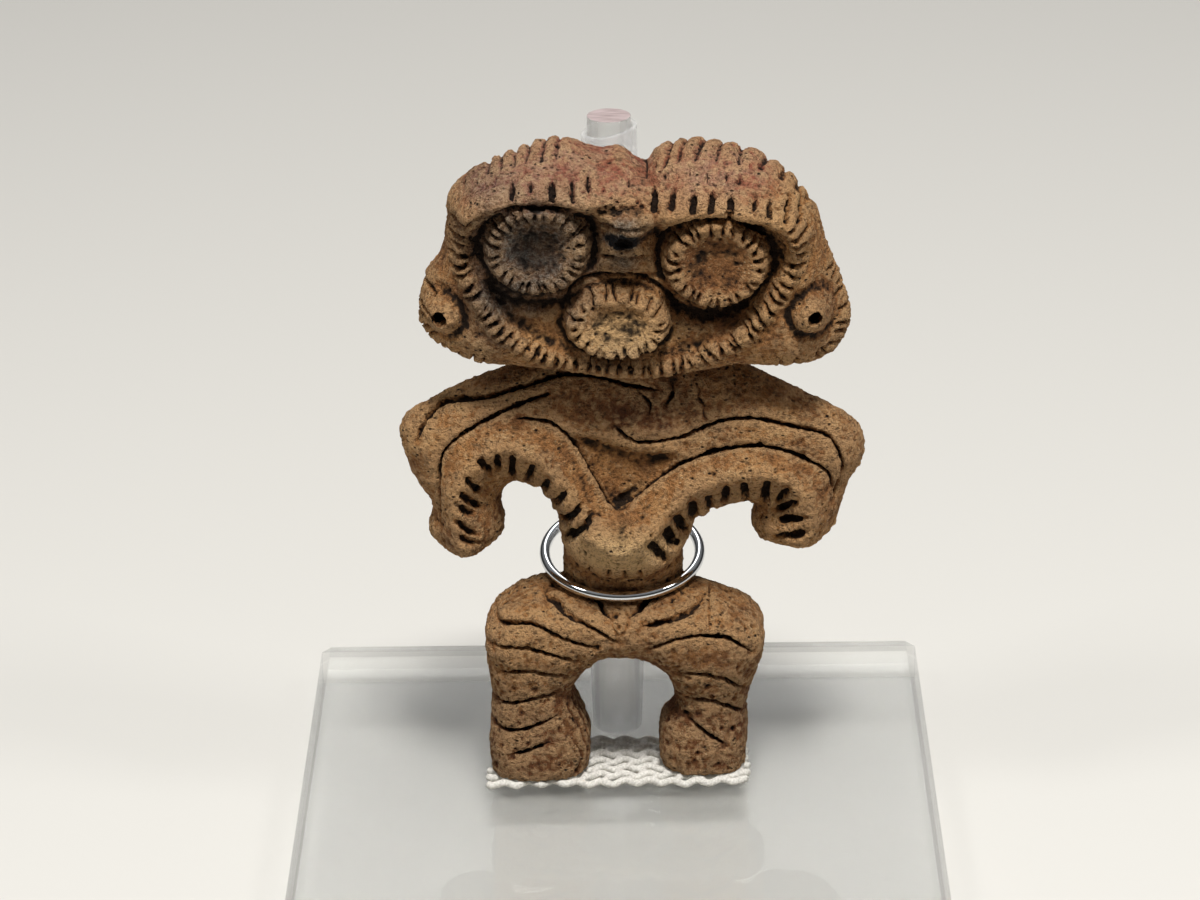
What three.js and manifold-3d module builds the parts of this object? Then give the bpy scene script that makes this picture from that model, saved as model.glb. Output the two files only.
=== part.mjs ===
// A horned-owl clay figurine, hand-modelled and fired as one piece, on a clear display stand.
// It stands on a strip of open-mesh grip matting on a bevelled acrylic plate. A clear rod in a soft
// clear sleeve rises behind it, and a polished steel ring holds its waist to the rod.
// Millimetres, +Z up. The origin is the centre of the plate's underside, and the figure looks along -Y.
import * as THREE from "three";
import { mergeVertices } from "three/addons/utils/BufferGeometryUtils.js";
import Module from "manifold-3d";

const wasm = await Module();
wasm.setup();

// Driving dimensions, in millimetres.
const TOUCH_GAP = 0.3; // left between rounded neighbours that only touch
const FIGURE_HEIGHT = 135;
const PLATE_WIDTH = 130;
const PLATE_DEPTH = 130;
const PLATE_THICKNESS = 10;
const BEVEL_WIDTH = 3.3;
const BEVEL_DROP = 2.4;
const POST_SETBACK = 25.5; // from the plate's middle to the rod's axis
const POST_DIAMETER = 8.8;
const POST_LENGTH = 134.6;
const SLEEVE_WALL = 0.9;
const SLEEVE_LENGTH = 133; // on its longer side
const SLEEVE_TOP_SLANT = 1.4; // how much lower the cut is on its shorter side
const SLEEVE_FOOT_DIAMETER = 10.2;
const SLEEVE_FOOT_TAPER = 14; // length that narrows towards the foot
const MAT_WIDTH = 55.4;
const MAT_DEPTH = 21.6;
const MAT_THICKNESS = 1.8;
const MAT_FRONT_MARGIN = 0.6; // that the mat shows before the toes
const MAT_CELL = 4.4; // pitch of its mesh along the strip
const WIRE_DIAMETER = 2.2;
const RING_HEIGHT = 41.9; // from the figure's soles to the ring's centre
const RING_SIDESTEP = 1.5; // of the ring's centre from the rod's axis
const RING_TILT = THREE.MathUtils.degToRad(10.6); // front edge down
const EAR_HOLE_DIAMETER = 2.8;
const EAR_HOLE_DEPTH = 7;

// The figure is drawn in steps, 135 to its height. Its x is measured from the rod's axis, its y back
// to front from 0 at the rod's face to negative numbers at the nose, and its z up from the soles.
const SCULPT_STEPS = 135;
const STEP = FIGURE_HEIGHT / SCULPT_STEPS;
const WAIST_DEPTH = 16.8 * STEP; // at the ring, from the rod's face to the belly

// Places that follow from the sizes above.
const plateTop = PLATE_THICKNESS;
const soles = plateTop + MAT_THICKNESS;
const sleeveDiameter = POST_DIAMETER + 2 * SLEEVE_WALL + 2 * TOUCH_GAP;
const backPlane = POST_SETBACK - sleeveDiameter / 2 - TOUCH_GAP;
const ringInnerFront = backPlane - WAIST_DEPTH - TOUCH_GAP;
const ringInnerBack = POST_SETBACK + sleeveDiameter / 2 + TOUCH_GAP;
const ringCentreY = (ringInnerFront + ringInnerBack) / 2;
const ringInnerRadius = (ringInnerBack - ringInnerFront) / 2 / Math.cos(RING_TILT);
const ringRadius = ringInnerRadius + WIRE_DIAMETER / 2;

// Outlines of the figure from the front, as [x, z] in steps, each a smooth loop through its points.
const HEAD_OUTLINE = [
  [-9.5, 134.9], [-18.4, 132.3], [-24.9, 128.7], [-29.7, 124.9], [-31.4, 119.1], [-33.1, 111.2],
  [-35.7, 108.1], [-37.5, 101.8], [-37.6, 96.8], [-34.6, 92.8], [-26.8, 90.5], [-18, 89.9], [-8, 88.4],
  [5, 86.6], [18, 88.6], [26.4, 89.6], [33, 89.2], [43.6, 90], [47.2, 96.5], [46.2, 102.9],
  [44, 108.6], [42.1, 113], [40.2, 120.5], [37.6, 124.9], [32.8, 129.1], [26.4, 132.2], [17.4, 133.9],
  [13.6, 133.8], [9.1, 131.4], [7.1, 128.4], [2, 132.2], [-0.5, 131.6], [-4.4, 132.4],
];
const TORSO_OUTLINE = [
  [-14, 88.5], [-18, 87.2], [-26, 84.4], [-34, 81], [-42, 76], [-42, 69.5], [-39.2, 62], [-36.4, 56.6],
  [-37.6, 52.5], [-35.1, 48.1], [-29.6, 45.8], [-25.5, 47.5], [-22.1, 51.7], [-22.6, 59], [-20.1, 62.2],
  [-15.5, 60.4], [-12.4, 56.6], [-8, 51], [2, 49], [13, 50], [18.3, 53.8], [23.5, 56.6], [28.4, 56.8],
  [27.5, 52.6], [29.5, 48.8], [35.6, 47.4], [41, 48.4], [44.4, 52], [46.9, 60.3], [50.2, 66.8],
  [50.4, 71.2], [48.1, 75], [35.5, 81.5], [26.4, 86], [20, 88.5],
];
const LEGS_OUTLINE = [
  [-10, 42], [-14.8, 41.4], [-19.5, 38.8], [-23.6, 35.4], [-26.3, 30.6], [-25.7, 22.2], [-25.5, 13.3],
  [-26.1, 4.3], [-24.6, -2], [-15, -7], [-7, -2], [-5.4, 5.7], [-6.5, 11.4], [-8.8, 17.4], [-4.3, 24],
  [-0.4, 25.2], [4.7, 24.8], [8.5, 22.7], [10.9, 19.4], [11.7, 13], [9.4, 10.5], [8.6, 6.6], [9.2, 0],
  [12, -5], [20, -7], [25.2, -3], [26.6, 3.7], [27, 15.8], [28.3, 20.4], [29.9, 25.8], [30, 30.4],
  [28.2, 33.6], [24.4, 36], [19.4, 38.2], [12, 41.5],
];
const FACE_RIM = [
  [2.9, 123], [-3.1, 125], [-15.8, 126], [-24.6, 124.6], [-29, 118.6], [-28.8, 112], [-25.8, 105.4],
  [-20.9, 98.8], [-14.6, 94], [-6.2, 91.4], [4.1, 90.2], [13.1, 90.6], [20.2, 93.8], [26.6, 98.4],
  [31.8, 105], [35.6, 111.6], [36.2, 118.8], [31.1, 123], [19.7, 123.4], [10.2, 122.4],
];

// The thick front edge of the crown, which overhangs the eyes.
const BROW = [
  [-28.5, 122.5], [-23.6, 126.4], [-15, 128], [-5, 127.4], [3, 126.6], [10, 124.8], [18, 125.4],
  [26, 124.4], [33, 121.6], [35.8, 117.6],
];
const BROW_HALF_WIDTH = 4.4;
const BROW_RISE = 3.2;

// Round features on the face and beside it: centre x and z, half width, half height and how far they
// stand forward.
const LEFT_EYE = [-13.9, 116.2, 10, 9.2, 4.2];
const RIGHT_EYE = [20.5, 112.9, 10, 8.8, 4.2];
const MOUTH = [1.3, 100.4, 10, 6.6, 4.4];
const MOUTH_LEAN = 0.25; // how much lower its upper edge stands, and higher its lower one, as a share
const NOSE = [3.1, 117.2, 6.2, 8, 4.8];
const NOSE_PIT = [2.8, 117.4, 2.4, 2.2, -3.4];
const EAR_KNOBS = [
  [-33.3, 101.4, 4.4, 4.4, 4.6],
  [39.6, 101.6, 4.4, 4.4, 4.6],
];

// The welt round the face, from one end of the brow to the other; short notches cross it.
const FACE_WELT = [
  [-28.5, 123.5], [-29.4, 118.6], [-28.8, 112], [-25.8, 105.4], [-20.9, 98.8], [-14.6, 94], [-6.2, 91.4],
  [4.1, 90.2], [13.1, 90.6], [20.2, 93.8], [26.6, 98.4], [31.8, 105], [35.6, 111.6], [36.6, 118.8],
  [35.5, 121.5],
];
const WELT_NOTCHES = 50;
const WELT_NOTCH_LENGTH = 3.6;

// Upright slits along the crown's front edge.
const BROW_SLITS = [
  [[-18.4, 129.8], [-18.4, 127.4]], [[-14.8, 130], [-14.9, 128.4]], [[-10.7, 130.2], [-10.8, 126.6]],
  [[-6.9, 130.1], [-6.7, 126.6]], [[-3.9, 130.2], [-3.7, 128]], [[8.9, 128], [8.6, 123.9]],
  [[12.6, 128], [11.8, 124.6]], [[16.4, 127.8], [15.9, 124]], [[20.1, 128], [19.2, 123.9]],
  [[23.5, 127.4], [23, 122.4]], [[28.5, 126.3], [27.5, 124.8]], [[31, 125.9], [30.5, 122.8]],
  [[34.6, 125.4], [33.9, 121.7]], [[37.2, 123.8], [36.8, 121.6]],
];

// Blunt grooves over the crown's top: each one's x at the top edge and at its front end, and where those
// two lie.
const GROOVES = [
  [-23.3, -23.3], [-20.8, -20.7], [-18, -18.2], [-15.3, -16], [-12.2, -13], [-9.5, -10.2], [12.3, 10.8],
  [15, 13.2], [18.6, 16.5], [22.2, 20.6], [26, 25], [30.9, 29.2], [34.5, 33.2], [37.1, 36.1], [39.1, 37.6],
];
const GROOVE_TOP = -10.5;
const GROOVE_FRONT = -19;
const GROOVE_HALF_WIDTH = 1.1;
const GROOVE_DEPTH = 0.9;
const GROOVES_OVER = 120; // height that they stay above
const GROOVES_BEGIN = [-19.6, -17.4]; // the two places between which they deepen, from the front
const GROOVES_END = [-7, -3]; // and between which they run out, towards the back

// Raised welts of clay: the two hoops that run from the pit of the chest over the arms to the hands.
const LEFT_HOOP = [
  [1.4, 53.4], [-4, 55.5], [-8.6, 60.5], [-11.6, 66.8], [-16.3, 71.4], [-21.5, 72.8], [-26.5, 70.6],
  [-30, 65.5], [-31, 58], [-30, 51],
];
const RIGHT_HOOP = [
  [1.4, 53.4], [5.5, 55], [11.4, 60], [16.8, 64], [24, 67], [31, 66.6], [36.8, 63.5], [39, 57.5], [37.5, 51.5],
];
const HOOP_HALF_WIDTH = 5;
const HOOP_RISE = 3;
// The chest sinks between the hoops down to their meeting point, where a thumb has left a flat hollow
// over the belly's lip.
const CHEST_PIT = [
  [1.4, 57.4], [-2.2, 63], [-5.4, 69], [-9, 74.6], [-2, 74.2], [4, 71.6], [11, 71], [13.5, 68.6], [7, 63.6],
];
const CHEST_SINK = 2.4;
const THUMB_HOLLOW = [1.6, 55.2, 4.6, 3.2, -1.6];
// The notches pressed along each hoop's inner edge, from the middle of the welt inwards, and the deeper
// gashes beside the belly.
const HOOP_NOTCHES = [
  [[-30.6, 54.3], [-27.2, 51.4]], [[-31.3, 57.7], [-27.4, 53.3]], [[-30.6, 60.9], [-27.8, 57.7]],
  [[-30.2, 63.8], [-26.6, 58.5]], [[-29.1, 67.1], [-26.5, 62.3]], [[-26.2, 70.8], [-24.2, 67]],
  [[-22.6, 72], [-22.9, 67]], [[-19.7, 71.6], [-20.2, 64.1]], [[-15.8, 69.7], [-17, 64.2]],
  [[-12.9, 66.3], [-14.4, 60.4]], [[-9.4, 64], [-12.6, 57.7]], [[-6.4, 60.9], [-10.8, 53.9]],
  [[-4.1, 58.6], [-9.6, 51.2]], [[38.2, 54.4], [32.2, 51.1]], [[37.6, 57.2], [33.2, 55.2]],
  [[36.5, 60.8], [32.6, 57]], [[34.5, 63.7], [32.7, 58.5]], [[30.5, 65.6], [30, 58.6]],
  [[25.8, 64.9], [26.6, 58.7]], [[22.5, 63.8], [22.1, 58]], [[18.9, 61.5], [19.5, 55.4]],
];
const HOOP_GASHES = [
  [[15.6, 60.7], [16.1, 52.9]], [[12.3, 57.8], [14, 52.1]], [[10.2, 54.9], [12, 50.5]],
  [[7.2, 53.5], [10, 48.1]],
];

// Incised lines on the body, from the neck down to the feet.
const LINES = [
  [[-38.9, 73], [-37.2, 76.6], [-32.6, 80.2], [-25.1, 81.6], [-17.2, 84], [-10.1, 86.1], [-2.9, 85.8],
    [4, 84.2], [9.4, 83.3]],
  [[11.8, 85.8], [12.2, 83.7], [10.6, 80.1]],
  [[5.5, 82.9], [7.5, 80.7], [7.2, 78.6]],
  [[-11.9, 83.1], [-20, 80.2], [-27.4, 76.5], [-32, 73.1], [-34.1, 69.3], [-34.5, 63.4], [-34.5, 54.7]],
  [[-18.9, 78.1], [-14.8, 77.8], [-10.8, 76.4], [-6.4, 71.3], [-3.6, 65.8], [-0.9, 60.4], [1.3, 58.4]],
  [[0, 76.8], [2.9, 74], [6, 72.8], [12.9, 73.8], [17.2, 75.5], [22.2, 77.3], [28.4, 77.5], [34.7, 75.9],
    [41.8, 73.9], [44.4, 71.1], [45.6, 67.2], [45.2, 64.4], [43.5, 59]],
  [[1.3, 58.4], [5.9, 62.7], [12.9, 67.8], [20.9, 71.1], [27.3, 71.9], [32.2, 71.4], [37.3, 69.4],
    [42.4, 66.1], [43.7, 61.8]],
  [[-4.9, 37.9], [-0.6, 35.6]],
  [[8.6, 37.8], [2.8, 35.8]],
  [[-14.3, 37.6], [-10.7, 36.6], [-5.2, 34.7], [0.8, 31]],
  [[-24.2, 33.9], [-19.6, 34.9], [-15.4, 34.8], [-10, 32.1], [-3.9, 30]],
  [[-25, 29.8], [-18.9, 30.2], [-13.5, 28.9], [-7.4, 26.9]],
  [[-23.2, 24], [-17.7, 24.8], [-13.6, 23.9], [-9.5, 23.2]],
  [[-24.9, 16.4], [-20.6, 16.9], [-15.8, 18.3], [-11.7, 18.8]],
  [[-24.8, 10.6], [-21.5, 10.6], [-16.6, 11.9], [-11.8, 14]],
  [[-21.9, 5.6], [-18.1, 6.6], [-13.6, 8.4]],
  [[5, 34.5], [11.2, 35.5], [17.8, 36.8]],
  [[18.8, 38.8], [21.8, 37.2], [26, 35.5]],
  [[6.3, 29.3], [9.8, 31], [15.2, 32.4], [19.3, 32.4], [23.4, 31.4], [27.6, 28]],
  [[12.6, 23.8], [17.9, 23.5], [22, 22.2], [26.2, 18.2]],
  [[13.8, 16.6], [18.2, 16.8], [22, 15.4], [26, 12]],
  [[14.1, 12.4], [18, 9.4], [22.3, 6.4]],
];
const LINE_HALF_WIDTH = 1;
const LINE_DEPTH = 1;

const { clamp, lerp, smoothstep } = THREE.MathUtils;

// A smooth curve through points of an outline, as a list of [x, z].
function smoothPath(points, closed, perSpan) {
  const corners = points.map(([x, z]) => new THREE.Vector3(x, 0, z));
  const curve = new THREE.CatmullRomCurve3(corners, closed, "centripetal");
  return curve.getPoints(points.length * perSpan).map((p) => [p.x, p.z]);
}

function segmentDistance(x, z, [ax, az], [bx, bz]) {
  const ex = bx - ax;
  const ez = bz - az;
  const share = clamp(((x - ax) * ex + (z - az) * ez) / (ex * ex + ez * ez || 1), 0, 1);
  return Math.hypot(x - ax - share * ex, z - az - share * ez);
}

function pathDistance(path, x, z) {
  let nearest = Infinity;
  for (let i = 1; i < path.length; i += 1) {
    nearest = Math.min(nearest, segmentDistance(x, z, path[i - 1], path[i]));
  }
  return nearest;
}

// Distance to a closed outline, negative inside it.
function outlineDistance(path, x, z) {
  let inside = false;
  for (let i = 1; i < path.length; i += 1) {
    const [ax, az] = path[i - 1];
    const [bx, bz] = path[i];
    if (az > z !== bz > z && x < ax + ((z - az) / (bz - az)) * (bx - ax)) {
      inside = !inside;
    }
  }
  const away = pathDistance(path, x, z);
  return inside ? -away : away;
}

// 1 on a line and 0 at its half width, with a rounded crest.
function crest(distance, halfWidth) {
  const share = clamp(distance / halfWidth, 0, 1);
  return (1 - share * share) ** 2;
}

// Joins two distances with a fillet of about the given size.
function blend(a, b, size) {
  const share = clamp(0.5 + (b - a) / (2 * size), 0, 1);
  return lerp(b, a, share) - size * share * (1 - share);
}

// A row of short cuts across a path, as pairs of end points.
function notchesAcross(path, count, length) {
  const points = path.map(([x, z]) => new THREE.Vector3(x, 0, z));
  const curve = new THREE.CatmullRomCurve3(points, false, 'catmullrom', 0.5);
  const cuts = [];
  for (let i = 0; i < count; i += 1) {
    const share = (i + 0.5) / count;
    const at = curve.getPointAt(share);
    const along = curve.getTangentAt(share);
    const across = new THREE.Vector3(-along.z, 0, along.x);
    const near = at.clone().addScaledVector(across, -length / 2);
    const far = at.clone().addScaledVector(across, length / 2);
    cuts.push([[near.x, near.z], [far.x, far.z]]);
  }
  return cuts;
}

// A round feature: a plain dome, or a dished disc with a raised rim.
function dome([cx, cz, rx, rz, rise], x, z) {
  return rise * crest(Math.hypot((x - cx) / rx, (z - cz) / rz), 1);
}

const DISH_FLOOR = 0.65; // height of a dish's middle as a share of its rim
function dish([cx, cz, rx, rz, rise], x, z, lean = 0) {
  const r = Math.hypot((x - cx) / rx, (z - cz) / rz);
  const hollow = lerp(DISH_FLOOR, 1, smoothstep(r, 0.3, 0.8));
  return rise * (hollow + (lean * (cz - z)) / rz) * (1 - smoothstep(r, 0.93, 1.08));
}

// The sculpt seen from the front: outlines, welts and cuts, worked out once.
const headEdge = smoothPath(HEAD_OUTLINE, true, 4);
const torsoEdge = smoothPath(TORSO_OUTLINE, true, 4);
const legsEdge = smoothPath(LEGS_OUTLINE, true, 4);
const rimEdge = smoothPath(FACE_RIM, true, 4);
const chestEdge = smoothPath(CHEST_PIT, true, 3);
const brow = smoothPath(BROW, false, 4);
const leftHoop = smoothPath(LEFT_HOOP, false, 4);
const rightHoop = smoothPath(RIGHT_HOOP, false, 4);
const lines = LINES.map((points) => smoothPath(points, false, 3));
const notchRows = [
  { cuts: notchesAcross(FACE_WELT, WELT_NOTCHES, WELT_NOTCH_LENGTH), halfWidth: 0.85, depth: 1.1 },
  { cuts: BROW_SLITS, halfWidth: 0.8, depth: 1.6 },
  { cuts: HOOP_NOTCHES, halfWidth: 0.95, depth: 1.5 },
  { cuts: HOOP_GASHES, halfWidth: 1.3, depth: 2 },
];

// Height of the carving on the front, in steps, positive where it stands forward.
function carving(x, z) {
  let height = 0;
  const rim = outlineDistance(rimEdge, x, z);
  const FACE_SINK = 2.4;
  const RIM_RISE = 1.3;
  const RIM_HALF_WIDTH = 3;
  height += RIM_RISE * crest(Math.abs(rim), RIM_HALF_WIDTH);
  height -= FACE_SINK * smoothstep(-rim, 1.2, 3.4);
  height += Math.max(
    dish(LEFT_EYE, x, z),
    dish(RIGHT_EYE, x, z),
    dish(MOUTH, x, z, MOUTH_LEAN),
    dome(NOSE, x, z),
    BROW_RISE * crest(pathDistance(brow, x, z), BROW_HALF_WIDTH),
  );
  height += dome(NOSE_PIT, x, z);
  for (const knob of EAR_KNOBS) {
    height += dome(knob, x, z);
  }
  const hoop = Math.min(pathDistance(leftHoop, x, z), pathDistance(rightHoop, x, z));
  height += HOOP_RISE * crest(hoop, HOOP_HALF_WIDTH);
  height -= CHEST_SINK * smoothstep(-outlineDistance(chestEdge, x, z), 0, 2.2);
  height += dome(THUMB_HOLLOW, x, z);
  let cut = 0;
  for (const line of lines) {
    cut = Math.max(cut, LINE_DEPTH * crest(pathDistance(line, x, z), LINE_HALF_WIDTH));
  }
  for (const { cuts, halfWidth, depth } of notchRows) {
    for (const [near, far] of cuts) {
      cut = Math.max(cut, depth * crest(segmentDistance(x, z, near, far), halfWidth));
    }
  }
  return height - cut;
}

// How deep the grooves over the crown are at a point: each is straight and runs a little aslant.
function crownGrooves(x, y, z) {
  if (z < GROOVES_OVER) {
    return 0;
  }
  const forward = (y - GROOVE_TOP) / (GROOVE_FRONT - GROOVE_TOP);
  let cut = 0;
  for (const [top, front] of GROOVES) {
    cut = Math.max(cut, GROOVE_DEPTH * crest(Math.abs(x - lerp(top, front, forward)), GROOVE_HALF_WIDTH));
  }
  return cut * smoothstep(y, ...GROOVES_BEGIN) * (1 - smoothstep(y, ...GROOVES_END));
}

// A slab with rounded edges between a front and a back, from its outline's distance.
function slab(edge, y, front, back, round) {
  const a = edge + round;
  const b = Math.max(front - y, y - back) + round;
  return Math.min(Math.max(a, b), 0) + Math.hypot(Math.max(a, 0), Math.max(b, 0)) - round;
}

function ellipsoid(x, y, z, [cx, cy, cz], [rx, ry, rz]) {
  const near = Math.hypot((x - cx) / rx, (y - cy) / ry, (z - cz) / rz);
  const slope = Math.hypot((x - cx) / rx / rx, (y - cy) / ry / ry, (z - cz) / rz / rz);
  return slope > 0 ? (near * (near - 1)) / slope : -Math.min(rx, ry, rz);
}

// The waist is an upright oval post of clay, from inside the hips to inside the chest.
const WAIST_CENTRE = [1.7, -8.5];
const WAIST_RADII = [12.1, 8.3];
const WAIST_SPAN = [30, 60];
function waist(x, y, z) {
  const [cx, cy] = WAIST_CENTRE;
  const [rx, ry] = WAIST_RADII;
  const side = ellipsoid(x, y, 0, [cx, cy, 0], [rx, ry, 1]);
  return Math.max(side, WAIST_SPAN[0] - z, z - WAIST_SPAN[1]);
}

// The belly is a rounded bulge that overhangs the waist.
const BELLY_CENTRE = [2, -12.4, 50.6];
const BELLY_RADII = [12.6, 12.1, 8.2];

// How far from the middle of a part a point lies, as a share of the part's half size.
const offCentre = (x, z, [cx, cz], [rx, rz]) => Math.min(Math.hypot((x - cx) / rx, (z - cz) / rz), 1);

// What one upright line of the grid needs to know: how far it is from each outline, where each part's
// front and back lie there, and how high the carving stands. The crown falls back towards its top,
// the ears lie behind the face, and the thighs and heels are fuller than the shins.
function columnAt(x, z) {
  const crown = smoothstep(z, 126, 138);
  const ears = smoothstep(Math.abs(x - 5), 29, 41);
  const thigh = crest(Math.abs(z - 31), 15);
  const toes = 1 - smoothstep(z, 3, 12);
  const rightFoot = smoothstep(x, 0, 12) * (1 - smoothstep(z, 10, 24));
  return {
    head: outlineDistance(headEdge, x, z),
    headFront: -24.2 + 7 * crown + 5.2 * ears,
    headBack: -0.4 - 5 * offCentre(x, z, [4, 108], [44, 30]) ** 2,
    torso: outlineDistance(torsoEdge, x, z),
    torsoFront: -18.6 + 1.4 * smoothstep(z, 74, 86),
    torsoBack: -0.8 - 4.6 * offCentre(x, z, [3, 68], [47, 40]) ** 2,
    legs: outlineDistance(legsEdge, x, z),
    legsFront: -21.9 - 1.8 * thigh - 1.5 * toes + 1.6 * rightFoot,
    legsBack: -5.2 + 2.8 * thigh + 1.2 * toes,
    carving: carving(x, z),
  };
}

// The ring lies in a plane that drops towards the front; the hips stay under it.
const ringTopZ = (y) => RING_HEIGHT / STEP + (y + (backPlane - ringCentreY) / STEP) * Math.tan(RING_TILT);
const HIP_SPARE = 0.4; // in steps, more than the ring needs over the hips
const HIP_CLEARANCE = (WIRE_DIAMETER / 2 + TOUCH_GAP) / STEP + HIP_SPARE;

// Signed distance to the fired clay, in steps, negative inside it.
function clay(column, x, y, z) {
  const head = slab(column.head, y, column.headFront, column.headBack, 7);
  const torso = slab(column.torso, y, column.torsoFront, column.torsoBack, 8);
  const hips = slab(column.legs, y, column.legsFront, column.legsBack, 7);
  const legs = -blend(-hips, ringTopZ(y) - HIP_CLEARANCE - z, 2.5);
  const belly = ellipsoid(x, y, z, BELLY_CENTRE, BELLY_RADII);
  let body = blend(head, torso, 1.2);
  body = blend(body, blend(waist(x, y, z), belly, 2), 3);
  body = blend(body, legs, 1.2);
  const facing = 1 - smoothstep(y, -13, -8);
  const FLAT_BACK = 0.2; // the clay's back ends this many steps before the rod's face
  const carved = body - facing * column.carving + crownGrooves(x, y, z);
  return Math.max(carved, y + FLAT_BACK);
}

// A closed surface where a field passes through zero. Each cell of a grid is split into six
// tetrahedra that share its long diagonal, and each of those is crossed by one or two triangles.
const AXIS_ORDERS = [[1, 2, 4], [2, 4, 1], [4, 1, 2], [2, 1, 4], [1, 4, 2], [4, 2, 1]];
const TETRAHEDRA = AXIS_ORDERS.map(([a, b], i) => (i < 3 ? [0, a, a | b, 7] : [0, a, 7, a | b]));
const ONE_CORNER = [[0, 1, 2, 3], [1, 0, 3, 2], [2, 3, 0, 1], [3, 2, 1, 0]];
const TWO_CORNERS = [[0, 1, 2, 3], [0, 2, 3, 1], [0, 3, 1, 2], [1, 2, 0, 3], [1, 3, 2, 0], [2, 3, 0, 1]];

function surfaceOf(field, low, high, cell) {
  const [nx, ny, nz] = low.map((start, axis) => Math.ceil((high[axis] - start) / cell) + 1);
  const values = new Float32Array(nx * ny * nz);
  const place = (i, j, k) => (k * nx + i) * ny + j;
  for (let k = 0; k < nz; k += 1) {
    for (let i = 0; i < nx; i += 1) {
      const x = low[0] + i * cell;
      const z = low[2] + k * cell;
      const column = columnAt(x, z);
      for (let j = 0; j < ny; j += 1) {
        values[place(i, j, k)] = field(column, x, low[1] + j * cell, z);
      }
    }
  }
  const points = [];
  const faces = [];
  const crossings = new Map();
  const pointOf = (index) => {
    const j = index % ny;
    const rest = (index - j) / ny;
    const i = rest % nx;
    return [low[0] + i * cell, low[1] + j * cell, low[2] + ((rest - i) / nx) * cell];
  };
  const crossing = (a, b) => {
    const key = a < b ? a * values.length + b : b * values.length + a;
    if (!crossings.has(key)) {
      const share = clamp(values[a] / (values[a] - values[b]), 0.04, 0.96);
      const from = pointOf(a);
      const to = pointOf(b);
      crossings.set(key, points.length / 3);
      points.push(...from.map((start, axis) => lerp(start, to[axis], share)));
    }
    return crossings.get(key);
  };
  const corners = new Array(8);
  for (let k = 0; k < nz - 1; k += 1) {
    for (let i = 0; i < nx - 1; i += 1) {
      for (let j = 0; j < ny - 1; j += 1) {
        let insideCount = 0;
        for (let c = 0; c < 8; c += 1) {
          corners[c] = place(i + (c & 1), j + ((c >> 1) & 1), k + ((c >> 2) & 1));
          insideCount += values[corners[c]] < 0 ? 1 : 0;
        }
        if (insideCount === 0 || insideCount === 8) {
          continue;
        }
        for (const tetrahedron of TETRAHEDRA) {
          crossTetrahedron(tetrahedron.map((c) => corners[c]), values, crossing, faces);
        }
      }
    }
  }
  return { points, faces };
}

function crossTetrahedron(at, values, crossing, faces) {
  const inside = at.map((index) => values[index] < 0);
  const count = inside.filter(Boolean).length;
  if (count === 1 || count === 3) {
    const odd = inside.indexOf(count === 1);
    const [i, j, k, l] = ONE_CORNER[odd].map((c) => at[c]);
    const [second, third] = count === 1 ? [k, l] : [l, k];
    faces.push(crossing(i, j), crossing(i, second), crossing(i, third));
  }
  if (count === 2) {
    const order = TWO_CORNERS.find(([a, b]) => inside[a] && inside[b]);
    const [i, j, k, l] = order.map((c) => at[c]);
    const quad = [crossing(i, k), crossing(i, l), crossing(j, l), crossing(j, k)];
    faces.push(quad[0], quad[1], quad[2], quad[0], quad[2], quad[3]);
  }
}

// How far a point is from a set of planes, squared and weighted: the ten numbers of a symmetric form.
function addPlane(quadrics, vertex, [a, b, c], d, weight) {
  const terms = [a * a, a * b, a * c, a * d, b * b, b * c, b * d, c * c, c * d, d * d];
  terms.forEach((term, i) => {
    quadrics[vertex * 10 + i] += term * weight;
  });
}

function quadricAt(q, x, y, z) {
  return q[0] * x * x + q[4] * y * y + q[7] * z * z + q[9]
    + 2 * (q[1] * x * y + q[2] * x * z + q[5] * y * z + q[3] * x + q[6] * y + q[8] * z);
}

// The point that lies nearest to all of a form's planes, or null where they don't meet in one.
function quadricLowest(q) {
  const m = new THREE.Matrix3().set(q[0], q[1], q[2], q[1], q[4], q[5], q[2], q[5], q[7]);
  const size = q[0] + q[4] + q[7];
  if (Math.abs(m.determinant()) < 1e-4 * size ** 3) {
    return null;
  }
  return new THREE.Vector3(-q[3], -q[6], -q[8]).applyMatrix3(m.invert());
}

// A queue that gives back its cheapest entry first.
class CheapestFirst {
  entries = [];

  add(entry) {
    const heap = this.entries;
    let at = heap.push(entry) - 1;
    while (at > 0) {
      const parent = (at - 1) >> 1;
      if (heap[parent].cost <= entry.cost) {
        break;
      }
      heap[at] = heap[parent];
      at = parent;
    }
    heap[at] = entry;
  }

  take() {
    const heap = this.entries;
    const cheapest = heap[0];
    const last = heap.pop();
    if (heap.length > 0) {
      let at = 0;
      for (;;) {
        let child = 2 * at + 1;
        if (child >= heap.length) {
          break;
        }
        if (child + 1 < heap.length && heap[child + 1].cost < heap[child].cost) {
          child += 1;
        }
        if (heap[child].cost >= last.cost) {
          break;
        }
        heap[at] = heap[child];
        at = child;
      }
      heap[at] = last;
    }
    return cheapest;
  }
}

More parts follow.
